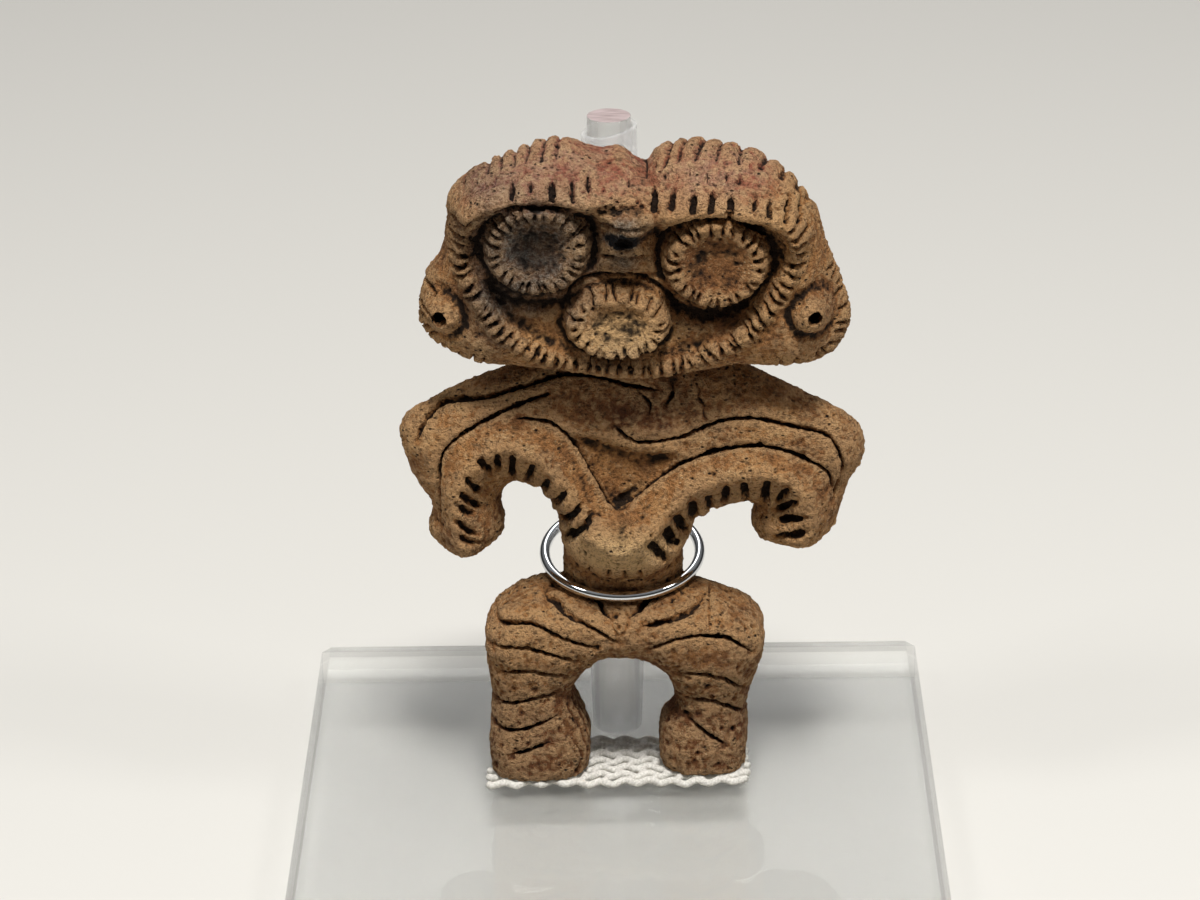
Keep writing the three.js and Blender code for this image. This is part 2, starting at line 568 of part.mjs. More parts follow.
// Thins a closed surface: the edge whose loss moves it least is drawn together into one point, again
// and again, until few enough triangles are left. The surface stays closed.
function thinned({ points, faces }, wanted) {
  const vertexCount = points.length / 3;
  const quadrics = new Float64Array(vertexCount * 10);
  const fans = Array.from({ length: vertexCount }, () => new Set());
  const ages = new Int32Array(vertexCount);
  const pointAt = (v) => new THREE.Vector3(points[v * 3], points[v * 3 + 1], points[v * 3 + 2]);
  const cornersOf = (f) => [faces[f * 3], faces[f * 3 + 1], faces[f * 3 + 2]];
  const normalOf = (a, b, c) => b.clone().sub(a).cross(c.clone().sub(a));
  let left = faces.length / 3;
  for (let f = 0; f < left; f += 1) {
    const at = cornersOf(f);
    const [a, b, c] = at.map(pointAt);
    const normal = normalOf(a, b, c);
    const area = normal.length();
    normal.divideScalar(area || 1);
    at.forEach((v) => {
      fans[v].add(f);
      addPlane(quadrics, v, normal.toArray(), -normal.dot(a), area);
    });
  }

  const neighboursOf = (v) => {
    const found = new Set();
    for (const f of fans[v]) {
      cornersOf(f).forEach((other) => found.add(other));
    }
    found.delete(v);
    return found;
  };

  const priced = (a, b) => {
    const q = new Float64Array(10);
    for (let i = 0; i < 10; i += 1) {
      q[i] = quadrics[a * 10 + i] + quadrics[b * 10 + i];
    }
    const from = pointAt(a);
    const to = pointAt(b);
    const middle = from.clone().lerp(to, 0.5);
    const length = from.distanceTo(to);
    const lowest = quadricLowest(q);
    const near = lowest && lowest.distanceTo(middle) < 1.5 * length;
    const choices = near ? [lowest] : [middle, from, to];
    let best = null;
    let cost = Infinity;
    for (const choice of choices) {
      const loss = quadricAt(q, choice.x, choice.y, choice.z);
      if (loss < cost) {
        best = choice;
        cost = loss;
      }
    }
    const SHORT_FIRST = 1e-4; // settles flat stretches, where no edge costs anything
    cost = Math.max(cost, 0) + SHORT_FIRST * length * length;
    return { cost, a, b, at: best, ages: ages[a] + ages[b] };
  };

  const queue = new CheapestFirst();
  for (let v = 0; v < vertexCount; v += 1) {
    for (const other of neighboursOf(v)) {
      if (v < other) {
        queue.add(priced(v, other));
      }
    }
  }

  // Whether every triangle round a moved corner keeps facing the way it did.
  const keepsFacing = (v, gone, to) => {
    for (const f of fans[v]) {
      const at = cornersOf(f);
      if (at.includes(gone)) {
        continue;
      }
      const before = normalOf(...at.map(pointAt));
      const after = normalOf(...at.map((corner) => (corner === v ? to : pointAt(corner))));
      if (before.dot(after) < 0.3 * before.length() * after.length() || after.length() < 1e-3) {
        return false;
      }
    }
    return true;
  };

  while (left > wanted && queue.entries.length > 0) {
    const { a, b, at, ages: agesThen } = queue.take();
    if (ages[a] < 0 || ages[b] < 0 || ages[a] + ages[b] !== agesThen) {
      continue;
    }
    const around = neighboursOf(a);
    const shared = [...neighboursOf(b)].filter((v) => around.has(v));
    if (shared.length !== 2 || !keepsFacing(a, b, at) || !keepsFacing(b, a, at)) {
      continue;
    }
    for (const f of [...fans[b]]) {
      const corners = cornersOf(f);
      if (corners.includes(a)) {
        corners.forEach((v) => fans[v].delete(f));
        faces[f * 3] = -1;
        left -= 1;
      } else {
        faces[f * 3 + corners.indexOf(b)] = a;
        fans[a].add(f);
      }
    }
    for (let i = 0; i < 10; i += 1) {
      quadrics[a * 10 + i] += quadrics[b * 10 + i];
    }
    at.toArray(points, a * 3);
    ages[b] = -1;
    ages[a] += 1;
    for (const other of neighboursOf(a)) {
      queue.add(priced(a, other));
    }
  }
  const kept = [];
  for (let f = 0; f < faces.length / 3; f += 1) {
    if (faces[f * 3] >= 0) {
      kept.push(...cornersOf(f));
    }
  }
  return { points, faces: kept };
}

// Turns a closed three.js geometry into a solid that can be cut, and back.
function solidOf(geometry) {
  const bare = geometry.clone();
  bare.deleteAttribute("normal");
  bare.deleteAttribute("uv");
  const merged = mergeVertices(bare, 1e-4);
  return new wasm.Manifold(new wasm.Mesh({
    numProp: 3,
    vertProperties: new Float32Array(merged.attributes.position.array),
    triVerts: new Uint32Array(merged.index.array),
  }));
}

function geometryOf(solid) {
  const { vertProperties, triVerts } = solid.getMesh();
  const geometry = new THREE.BufferGeometry();
  geometry.setAttribute("position", new THREE.BufferAttribute(new Float32Array(vertProperties), 3));
  geometry.setIndex(new THREE.BufferAttribute(new Uint32Array(triVerts), 1));
  geometry.computeVertexNormals();
  return geometry;
}

// The figurine: one piece of fired clay, cut flat under both feet, with a hole drilled in each ear.
function figurineGeometry() {
  // The grid, in steps. It reaches below the soles, where a flat cut takes off the rounded ends.
  const GRID_LOW = [-46, -32, -9];
  const GRID_HIGH = [54, 4, SCULPT_STEPS + 3];
  const CELL = 0.9;
  const TRIANGLES = 8600;
  const ring = { flat: ringCentreY - backPlane, height: RING_HEIGHT };
  const field = (column, x, y, z) => {
    const along = (y * STEP - ring.flat) / Math.cos(RING_TILT);
    const above = z * STEP - ring.height - (y * STEP - ring.flat) * Math.tan(RING_TILT);
    const plane = above * Math.cos(RING_TILT);
    const wire = Math.hypot(Math.hypot(x * STEP - RING_SIDESTEP, along) - ringRadius, plane);
    const cleared = (WIRE_DIAMETER / 2 + 2 * TOUCH_GAP - wire) / STEP;
    return Math.max(clay(column, x, y, z), cleared);
  };
  const rough = surfaceOf(field, GRID_LOW, GRID_HIGH, CELL);
  const { points, faces } = thinned(rough, TRIANGLES);
  const used = new Map();
  const position = [];
  const index = faces.map((v) => {
    if (!used.has(v)) {
      used.set(v, position.length / 3);
      position.push(points[v * 3] * STEP, points[v * 3 + 1] * STEP, points[v * 3 + 2] * STEP);
    }
    return used.get(v);
  });
  const geometry = new THREE.BufferGeometry();
  geometry.setAttribute("position", new THREE.Float32BufferAttribute(position, 3));
  geometry.setIndex(index);
  const UNDERCUT = 20; // thickness of the block that the soles are cut with
  const floor = new THREE.BoxGeometry(2 * FIGURE_HEIGHT, 2 * FIGURE_HEIGHT, UNDERCUT);
  floor.translate(0, 0, -UNDERCUT / 2);
  let solid = solidOf(geometry).subtract(solidOf(floor));
  const KNOB_FACE = -23.5; // in steps, where the ears' knobs end in front
  const DRILL_SIDES = 14;
  const radius = EAR_HOLE_DIAMETER / 2;
  for (const [x, z] of EAR_KNOBS) {
    const drill = new THREE.CylinderGeometry(radius, radius, 2 * EAR_HOLE_DEPTH, DRILL_SIDES);
    drill.translate(x * STEP, KNOB_FACE * STEP, z * STEP);
    solid = solid.subtract(solidOf(drill));
  }
  return geometryOf(solid);
}

// The plate: a square block whose upper edges are bevelled all round.
function plateGeometry() {
  const outline = (width, depth) => [
    [-width / 2, -depth / 2], [width / 2, -depth / 2], [width / 2, depth / 2], [-width / 2, depth / 2],
  ];
  const levels = [
    [outline(PLATE_WIDTH, PLATE_DEPTH), 0],
    [outline(PLATE_WIDTH, PLATE_DEPTH), PLATE_THICKNESS - BEVEL_DROP],
    [outline(PLATE_WIDTH - 2 * BEVEL_WIDTH, PLATE_DEPTH - 2 * BEVEL_WIDTH), PLATE_THICKNESS],
  ];
  const position = levels.flatMap(([corners, z]) => corners.flatMap(([x, y]) => [x, y, z]));
  const index = [0, 2, 1, 0, 3, 2, 8, 9, 10, 8, 10, 11];
  for (let level = 0; level < levels.length - 1; level += 1) {
    for (let side = 0; side < 4; side += 1) {
      const a = level * 4 + side;
      const b = level * 4 + ((side + 1) % 4);
      index.push(a, b, b + 4, a, b + 4, a + 4);
    }
  }
  const geometry = new THREE.BufferGeometry();
  geometry.setAttribute("position", new THREE.Float32BufferAttribute(position, 3));
  geometry.setIndex(index);
  geometry.computeVertexNormals();
  return geometry;
}

// The rod: an upright cylinder that stands on the plate.
const ROD_SIDES = 48;
function postGeometry() {
  const rod = new THREE.CylinderGeometry(POST_DIAMETER / 2, POST_DIAMETER / 2, POST_LENGTH, ROD_SIDES);
  rod.rotateX(Math.PI / 2);
  rod.translate(0, 0, POST_LENGTH / 2);
  return rod;
}

// The sleeve: a thin tube round the rod that narrows at its foot, with its top cut a little slantwise.
function sleeveGeometry() {
  const bore = POST_DIAMETER / 2 + TOUCH_GAP;
  const uncut = SLEEVE_LENGTH + SLEEVE_TOP_SLANT;
  const profile = [
    [bore, 0], [SLEEVE_FOOT_DIAMETER / 2, 0], [sleeveDiameter / 2, SLEEVE_FOOT_TAPER],
    [sleeveDiameter / 2, uncut], [bore, uncut], [bore, 0],
  ].map(([radius, height]) => new THREE.Vector2(radius, height));
  const tube = new THREE.LatheGeometry(profile, ROD_SIDES);
  tube.rotateX(Math.PI / 2);
  const cutter = new THREE.BoxGeometry(2 * sleeveDiameter, 2 * sleeveDiameter, sleeveDiameter);
  const slant = Math.atan(SLEEVE_TOP_SLANT / sleeveDiameter);
  cutter.translate(0, 0, sleeveDiameter / 2);
  cutter.rotateY(-slant);
  cutter.translate(0, 0, SLEEVE_LENGTH - SLEEVE_TOP_SLANT / 2);
  return geometryOf(solidOf(tube).subtract(solidOf(cutter)));
}

// The ring: one turn of round wire.
function ringGeometry() {
  const WIRE_SIDES = 12;
  const RING_SIDES = 44;
  return new THREE.TorusGeometry(ringRadius, WIRE_DIAMETER / 2, WIRE_SIDES, RING_SIDES);
}

// The grip strip: a flat mat whose cut ends follow the cells of its mesh.
function matGeometry() {
  const outline = new THREE.Shape();
  const teeth = Math.round(MAT_DEPTH / MAT_CELL);
  const toothDepth = MAT_CELL / 4;
  outline.moveTo(-MAT_WIDTH / 2, -MAT_DEPTH / 2);
  outline.lineTo(MAT_WIDTH / 2, -MAT_DEPTH / 2);
  for (const side of [1, -1]) {
    for (let tooth = 0; tooth < teeth; tooth += 1) {
      const middle = side * (-MAT_DEPTH / 2 + ((tooth + 0.5) * MAT_DEPTH) / teeth);
      const end = side * (-MAT_DEPTH / 2 + ((tooth + 1) * MAT_DEPTH) / teeth);
      outline.lineTo(side * (MAT_WIDTH / 2 - toothDepth), middle);
      if (side > 0 || tooth < teeth - 1) {
        outline.lineTo((side * MAT_WIDTH) / 2, end);
      }
    }
    if (side > 0) {
      outline.lineTo(-MAT_WIDTH / 2, MAT_DEPTH / 2);
    }
  }
  return new THREE.ExtrudeGeometry(outline, { depth: MAT_THICKNESS, bevelEnabled: false });
}

function piece(name, geometry, colour, roughness, metalness = 0, opacity = 1) {
  const material = new THREE.MeshStandardMaterial({
    color: colour,
    roughness,
    metalness,
    opacity,
    transparent: opacity < 1,
  });
  const mesh = new THREE.Mesh(geometry, material);
  mesh.name = name;
  return mesh;
}

const displayedFigurine = new THREE.Group();

const plate = piece("base_plate", plateGeometry(), "#e8eceb", 0.06, 0, 0.35);
displayedFigurine.add(plate);

const post = piece("post", postGeometry(), "#e9e6e8", 0.06, 0, 0.35);
post.position.set(0, POST_SETBACK, plateTop);
displayedFigurine.add(post);

const sleeve = piece("post_sleeve", sleeveGeometry(), "#e4e1e2", 0.3, 0, 0.35);
sleeve.position.copy(post.position);
displayedFigurine.add(sleeve);

const mat = piece("grip_mat", matGeometry(), "#d9d5cc", 0.85);
const TOE_FRONT = -23.4 * STEP; // how far the toes reach in front of the rod's face
const MAT_SIDESTEP = 0.3; // of the mat's middle from the rod's axis
mat.position.set(MAT_SIDESTEP, backPlane + TOE_FRONT - MAT_FRONT_MARGIN + MAT_DEPTH / 2, plateTop);
displayedFigurine.add(mat);

const figurine = piece("dogu_figurine", figurineGeometry(), "#8d6a48", 0.92);
figurine.position.set(0, backPlane, soles);
displayedFigurine.add(figurine);

const ring = piece("waist_ring", ringGeometry(), "#d7dadc", 0.08, 1);
ring.position.set(RING_SIDESTEP, ringCentreY, soles + RING_HEIGHT);
ring.rotation.x = RING_TILT;
displayedFigurine.add(ring);

export default displayedFigurine;
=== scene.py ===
# A horned-owl clay figurine on a clear display stand, dressed from its measured solids. Metres, +Z up.
import math

import bmesh
import bpy
import numpy as np
from mathutils import Euler, Matrix, Vector
from mathutils.kdtree import KDTree


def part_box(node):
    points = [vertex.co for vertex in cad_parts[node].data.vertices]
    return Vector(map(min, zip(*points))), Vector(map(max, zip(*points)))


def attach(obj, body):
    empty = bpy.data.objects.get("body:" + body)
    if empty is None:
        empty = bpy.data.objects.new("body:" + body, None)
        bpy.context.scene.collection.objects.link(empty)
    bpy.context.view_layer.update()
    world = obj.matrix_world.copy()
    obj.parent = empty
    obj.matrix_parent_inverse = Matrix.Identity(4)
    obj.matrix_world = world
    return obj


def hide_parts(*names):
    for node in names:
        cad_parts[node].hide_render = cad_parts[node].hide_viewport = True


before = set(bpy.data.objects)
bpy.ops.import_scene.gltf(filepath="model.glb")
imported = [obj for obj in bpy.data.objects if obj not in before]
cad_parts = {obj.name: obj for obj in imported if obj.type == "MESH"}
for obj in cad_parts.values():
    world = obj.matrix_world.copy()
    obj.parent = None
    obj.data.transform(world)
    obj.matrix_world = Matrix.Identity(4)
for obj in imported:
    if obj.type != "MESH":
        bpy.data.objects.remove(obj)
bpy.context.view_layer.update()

MM = 0.001

# The view: a visitor's eye above and in front of the case, looking down at the figure with a long
# lens held a little out of level.
VIEW_FROM = Vector((6.6, -752.9, 413.3)) * MM
VIEW_DOWN = math.radians(23.64)
VIEW_TURN = 0.01207
VIEW_ROLL = 0.01646
LENS_MM = 124.8

camera = bpy.data.objects.new("camera", bpy.data.cameras.new("camera"))
camera.data.lens = LENS_MM
camera.data.sensor_width = 36
turned = Euler((math.pi / 2 - VIEW_DOWN, 0, VIEW_TURN)).to_matrix().to_4x4()
camera.matrix_world = Matrix.Translation(VIEW_FROM) @ turned @ Matrix.Rotation(-VIEW_ROLL, 4, "Z")
bpy.context.scene.collection.objects.link(camera)
bpy.context.scene.camera = camera


# The figurine is one piece of low-fired clay, modelled by hand, carved with a stick while it was damp
# and pricked and notched along every welt. The firing left the crown reddish and the face sooted.
# Its solid is taken over, its facets are smoothed away, and the carving is cut again, finer.
def srgb(code):
    """A hex colour as Blender's linear red, green, blue and alpha."""
    parts = [int(code[i : i + 2], 16) / 255 for i in (1, 3, 5)]
    return [p / 12.92 if p <= 0.04045 else ((p + 0.055) / 1.055) ** 2.4 for p in parts] + [1]


def new_object(name, mesh, *materials):
    """A named piece that rides on the one rigid body."""
    made = bpy.data.objects.new(name, mesh)
    bpy.context.scene.collection.objects.link(made)
    for material in materials:
        made.data.materials.append(material)
    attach(made, "root")
    return made


def applied(piece):
    """The piece's mesh with its modifiers worked in, which are then taken off."""
    bpy.context.view_layer.update()
    evaluated = piece.evaluated_get(bpy.context.evaluated_depsgraph_get())
    finished = bpy.data.meshes.new_from_object(evaluated)
    piece.modifiers.clear()
    old = piece.data
    piece.data = finished
    bpy.data.meshes.remove(old)
    return finished


def add_node(material, kind, settings=None, **links):
    """Adds a node: settings are properties or plain input values, links are other nodes' outputs."""
    made = material.node_tree.nodes.new("ShaderNode" + kind)
    for name, value in (settings or {}).items():
        if isinstance(name, int) or name in made.inputs:
            made.inputs[name].default_value = value
        else:
            setattr(made, name, value)
    for name, source in links.items():
        socket = made.inputs[int(name[1:])] if name[0] == "_" else made.inputs[name.replace("_", " ")]
        material.node_tree.links.new(source, socket)
    return made


def new_material(name):
    """An empty material and its output node."""
    made = bpy.data.materials.new(name)
    made.use_nodes = True
    made.node_tree.nodes.clear()
    return made, made.node_tree.nodes.new("ShaderNodeOutputMaterial")


SCULPT_TALL = 134.86  # the figure's height in steps, of about a millimetre each
clay_low, clay_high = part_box("dogu_figurine")
post_low, post_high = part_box("post")
sleeve_low, sleeve_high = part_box("post_sleeve")
STEP = (clay_high[2] - clay_low[2]) / SCULPT_TALL
ROD_GAP = 0.3 * MM
sculpt_origin = np.array([(post_low[0] + post_high[0]) / 2, sleeve_low[1] - ROD_GAP, clay_low[2]])

# Everything carved is given as seen from the front: points of x and height, in steps from the rod
# and the soles. First come the incised lines of the shoulders, chest, hips and legs.
LINES = [
    [(-38.9, 73), (-37.2, 76.6), (-32.6, 80.2), (-25.1, 81.6), (-17.2, 84), (-10.1, 86.1), (-2.9, 85.8),
     (4, 84.2), (9.4, 83.3)],
    [(12, 84.6), (12, 82.8), (10.6, 80.1)],
    [(5.5, 82.9), (7.5, 80.7), (7.2, 78.6)],
    [(-11.9, 83.1), (-20, 80.2), (-27.4, 76.5), (-32, 73.1), (-34.1, 69.3), (-34.5, 63.4), (-34.5, 54.7)],
    [(-18.9, 78.1), (-14.8, 77.8), (-10.8, 76.4), (-6.4, 71.3), (-3.6, 65.8), (-0.9, 60.4), (1.3, 58.4)],
    [(0, 76.8), (2.9, 74), (6, 72.8), (12.9, 73.8), (17.2, 75.5), (22.2, 77.3), (28.4, 77.5), (34.7, 75.9),
     (41.8, 73.9), (44.4, 71.1), (45.6, 67.2), (45.2, 64.4), (43.5, 59)],
    [(1.3, 58.4), (5.9, 62.7), (12.9, 67.8), (20.9, 71.1), (27.3, 71.9), (32.2, 71.4), (37.3, 69.4),
     (42.4, 66.1), (43.7, 61.8)],
    [(-4.9, 37.9), (-0.6, 35.6)],
    [(8.6, 37.8), (2.8, 35.8)],
    [(-14.3, 37.6), (-10.7, 36.6), (-5.2, 34.7), (0.8, 31)],
    [(-24.2, 33.9), (-19.6, 34.9), (-15.4, 34.8), (-10, 32.1), (-3.9, 30)],
    [(-25, 29.8), (-18.9, 30.2), (-13.5, 28.9), (-7.4, 26.9)],
    [(-23.2, 24), (-17.7, 24.8), (-13.6, 23.9), (-9.5, 23.2)],
    [(-24.9, 16.4), (-20.6, 16.9), (-15.8, 18.3), (-11.7, 18.8)],
    [(-24.8, 10.6), (-21.5, 10.6), (-16.6, 11.9), (-11.8, 14)],
    [(-21.9, 5.6), (-18.1, 6.6), (-13.6, 8.4)],
    [(5, 34.5), (11.2, 35.5), (17.8, 36.8)],
    [(18.8, 38.8), (21.8, 37.2), (26, 35.5)],
    [(6.3, 29.3), (9.8, 31), (15.2, 32.4), (19.3, 32.4), (23.4, 31.4), (27.6, 28)],
    [(12.6, 23.8), (17.9, 23.5), (22, 22.2), (26.2, 18.2)],
    [(13.8, 16.6), (18.2, 16.8), (22, 15.4), (26, 12)],
    [(14.1, 12.4), (18, 9.4), (22.3, 6.4)],
]
HAIR_CRACKS = [
    [(16.3, 85.1), (17.2, 83.6), (17.1, 82), (18.2, 80.4), (18, 78.8), (18.8, 77.2)],
    [(19.6, 38.2), (18.8, 36.6), (19.1, 34.8), (18.8, 33)],
    [(-0.6, 35.6), (-0.2, 34.2), (0.8, 32.6)],
    [(2.8, 35.8), (1.9, 34), (0.8, 32.6)],
]
# The foot of the slope from each hoop down to the sunken chest.
CHEST_SLOPES = [(-7.2, 73), (-3.6, 66.6), (-0.8, 61.8), (1.6, 59.6), (6.4, 63.8), (12.6, 68.2)]
# The face: the creases under the brow and over the mouth, the welt round it, and its three discs,
# each a centre, a half width and a half height.
BROWS = [
    [(-30.3, 119.7), (-24.8, 123.4), (-18.4, 125.6), (-13.3, 125.8), (-6.3, 124.6), (-2.5, 122.6)],
    [(9.5, 117.8), (13.3, 120.9), (17.2, 122.4), (22.9, 122.2), (28, 119.9), (31.1, 116.9)],
]
OVER_MOUTH = [(-9, 105), (-5.6, 108.6), (-0.5, 110), (5, 109.6), (9.6, 107.2), (12.6, 103.4)]
EYE_HOLLOWS = [
    ([(10, 105.6), (13.5, 102.4), (19.5, 100.8), (26.2, 103.2), (31, 108.5)], 3.2, 2.6),
    ([(-25.2, 110), (-20.5, 105.6), (-13, 103.8), (-7.5, 105.5)], 2.4, 1.3),
]
FACE_WELT = [
    (-28.5, 123.5), (-29.4, 118.6), (-28.8, 112), (-25.8, 105.4), (-20.9, 98.8), (-14.6, 94), (-6.2, 91.4),
    (4.1, 90.2), (13.1, 90.6), (20.2, 93.8), (26.6, 98.4), (31.8, 105), (35.6, 111.6), (36.6, 118.8),
    (35.5, 121.5),
]
LEFT_EYE = (-13.9, 116.3, 10, 9.2)
RIGHT_EYE = (20.5, 113, 10, 8.9)
MOUTH = (1.5, 100.8, 10, 6.9)
NOSE = (3.1, 117.2, 5.4, 6.6)
NOSE_CREASES = [[(-2.4, 121.3), (3.2, 121.7), (8.4, 121.5)], [(-2.2, 114.2), (3.2, 114.6), (8.2, 114.2)]]
NOSE_BRIDGE = (3.2, 121.6, 6.2, 3.8)
NOSE_PIT = (2.7, 118.4, 2.3, 1.7)
EAR_KNOBS = [(-33.3, 101.4), (39.6, 101.6)]
EAR_RADIUS = 4.3
EAR_RIMS = [
    [(-34.6, 107.5), (-36.3, 102.5), (-36.6, 97.5), (-34, 94), (-28.5, 92.2), (-24, 91.6)],
    [(43.2, 110), (45.2, 104), (45.9, 98.4), (43.4, 92.6), (38, 91.2), (32, 90.8)],
]
# The crown: a row of upright slits along its front edge, smaller pits above them, and the grooves over
# its top, each with its x at the top edge and at its front end.
BROW_SLITS = [
    [(-18.4, 129.8), (-18.4, 127.4)], [(-14.8, 130), (-14.9, 128.4)], [(-10.7, 130.2), (-10.8, 126.6)],
    [(-6.9, 130.1), (-6.7, 126.6)], [(-3.9, 130.2), (-3.7, 128)], [(8.9, 128), (8.6, 123.9)],
    [(12.6, 128), (11.8, 124.6)], [(16.4, 127.8), (15.9, 124)], [(20.1, 128), (19.2, 123.9)],
    [(23.5, 127.4), (23, 122.4)], [(28.5, 126.3), (27.5, 124.8)], [(31, 125.9), (30.5, 122.8)],
    [(34.6, 125.4), (33.9, 121.7)], [(37.2, 123.8), (36.8, 121.6)],
]
CROWN_PITS = [
    (-21.6, 129.6), (-25.4, 128.6), (-28, 127.2), (10.8, 129.6), (15.6, 130.2), (19, 129.5), (22.7, 129.6),
    (25.2, 129.1), (7.3, 129.2), (4, 128.8), (-1, 128.6), (1.6, 126.6), (5.6, 126.4), (-0.6, 125.4),
]
GROOVES = [
    (-23.3, -23.3), (-20.8, -20.7), (-18, -18.2), (-15.3, -16), (-12.2, -13), (-9.5, -10.2), (12.3, 10.8),
    (15, 13.2), (18.6, 16.5), (22.2, 20.6), (26, 25), (30.9, 29.2), (34.5, 33.2), (37.1, 36.1), (39.1, 37.6),
]
GROOVE_TOP, GROOVE_FRONT = -10.5, -19
GROOVES_BEGIN, GROOVES_END = (-19.6, -17.4), (-7, -3)  # where they deepen and where they run out
LEFT_HOOP = [
    (-8.6, 60.5), (-11.6, 66.8), (-16.3, 71.4), (-21.5, 72.8), (-26.5, 70.6), (-30, 65.5), (-31, 58),
    (-30, 51),
]
RIGHT_HOOP = [(11.4, 60), (16.8, 64), (24, 67), (31, 66.6), (36.8, 63.5), (39, 57.5), (37.5, 51.5)]
# The notches pressed along each hoop's inner edge, from the middle of the welt inwards.
HOOP_NOTCHES = [
    [(-30.6, 54.3), (-27.2, 51.4)], [(-31.3, 57.7), (-27.4, 53.3)], [(-30.6, 60.9), (-27.8, 57.7)],
    [(-30.2, 63.8), (-26.6, 58.5)], [(-29.1, 67.1), (-26.5, 62.3)], [(-26.2, 70.8), (-24.2, 67)],
    [(-22.6, 72), (-22.9, 67)], [(-19.7, 71.6), (-20.2, 64.1)], [(-15.8, 69.7), (-17, 64.2)],
    [(-12.9, 66.3), (-14.4, 60.4)], [(-9.4, 64), (-12.6, 57.7)], [(-6.4, 60.9), (-10.8, 53.9)],
    [(-4.1, 58.6), (-9.6, 51.2)], [(38.2, 54.4), (32.2, 51.1)], [(37.6, 57.2), (33.2, 55.2)],
    [(36.5, 60.8), (32.6, 57)], [(34.5, 63.7), (32.7, 58.5)], [(30.5, 65.6), (30, 58.6)],
    [(25.8, 64.9), (26.6, 58.7)], [(22.5, 63.8), (22.1, 58)], [(18.9, 61.5), (19.5, 55.4)],
]
HOOP_GASHES = [
    [(15.6, 60.7), (16.1, 52.9)], [(12.3, 57.8), (14, 52.1)], [(10.2, 54.9), (12, 50.5)],
    [(7.2, 53.5), (10, 48.1)],
]
BELLY_NICKS = [
    [(-1, 47.5), (-1.4, 43.6)], [(2, 47.2), (2.2, 43)], [(5, 47), (5.6, 43.8)], [(-4.6, 47), (-5.6, 44)],
]


def through(points, per_span=5):
    """A smooth run of points through given ones."""
    p = np.array([points[0], *points, points[-1]], float)
    t = np.linspace(0, 1, per_span, endpoint=False)[:, None]
    spans = []
    for a, b, c, d in zip(p, p[1:], p[2:], p[3:]):
        bend = (2 * a - 5 * b + 4 * c - d) * t**2 + (3 * b - a - 3 * c + d) * t**3
        spans.append((2 * b + (c - a) * t + bend) / 2)
    return np.vstack([*spans, p[-1:]])


def ramp(value, start, end):
    """0 before start, 1 after end, smooth between."""
    t = np.clip((value - start) / (end - start), 0, 1)
    return t * t * (3 - 2 * t)


def rounded(gap, reach):
    """1 at no gap and 0 at the reach and past it, round at the top."""
    return 1 - np.clip(np.abs(gap) / reach, 0, 1) ** 2


def stroke(spots, path, half_width, taper=2.0):
    """1 along a run of points and 0 at its half width, with a rounded crest and ends drawn out thin."""
    path = np.asarray(path, float)
    steps = np.linalg.norm(np.diff(path, axis=0), axis=1)
    reach = np.concatenate([[0], np.cumsum(steps)])
    strength = np.minimum(1, (np.minimum(reach, reach[-1] - reach) + 0.15 * taper) / max(taper, 1e-6))
    found = np.zeros(len(spots))
    for a, b, weak, strong in zip(path, path[1:], strength, strength[1:]):
        low, high = np.minimum(a, b) - half_width, np.maximum(a, b) + half_width
        near = np.nonzero(np.all((spots > low) & (spots < high), axis=1))[0]
        along = b - a
        share = np.clip((spots[near] - a) @ along / max(along @ along, 1e-9), 0, 1)
        gap = np.linalg.norm(spots[near] - a - share[:, None] * along, axis=1)
        here = weak + (strong - weak) * share
        crest = rounded(gap, half_width * np.maximum(here, 0.3)) ** 2
        found[near] = np.maximum(found[near], here * crest)
    return found


def across(path, s, jitter=0.0):
    """A point at a distance along a run, and the direction across it there."""
    reach = np.concatenate([[0], np.cumsum(np.linalg.norm(np.diff(path, axis=0), axis=1))])
    here, ahead = (np.array([np.interp(d, reach, path[:, i]) for i in (0, 1)]) for d in (s, s + 0.5))
    along = (ahead - here) / max(np.linalg.norm(ahead - here), 1e-9)
    return here, np.array([-along[1], along[0]]) + along * jitter


def straight(start, end):
    """A straight run of points between two ends."""
    return np.linspace(start, end, 6)


def notches_along(points, count, length, wobble=0.1, seed=1):
    """Short cuts across a run of points, each a little out of true as a hand makes them."""
    chance = np.random.default_rng(seed)
    path = through(points, 12)
    whole = np.linalg.norm(np.diff(path, axis=0), axis=1).sum()
    cuts = []
    for s in (np.arange(count) + 0.5 + chance.normal(size=count) * wobble) * whole / count:
        here, side = across(path, min(s, whole - 0.6), chance.normal() * wobble)
        half = length / 2 * (1 + chance.normal() * wobble)
        cuts.append(straight(here - side * half, here + side * half))
    return cuts


def from_disc(spots, disc):
    """Distance from a disc's middle as a share of its size."""
    x, z, wide, tall = disc
    return np.hypot((spots[:, 0] - x) / wide, (spots[:, 1] - z) / tall)


def disc_edge(disc, share):
    """The oval at a share of a disc's size."""
    x, z, wide, tall = disc
    turn = np.linspace(0, 2 * math.pi, 25)
    return [(x + wide * share * math.cos(a), z + tall * share * math.sin(a)) for a in turn]


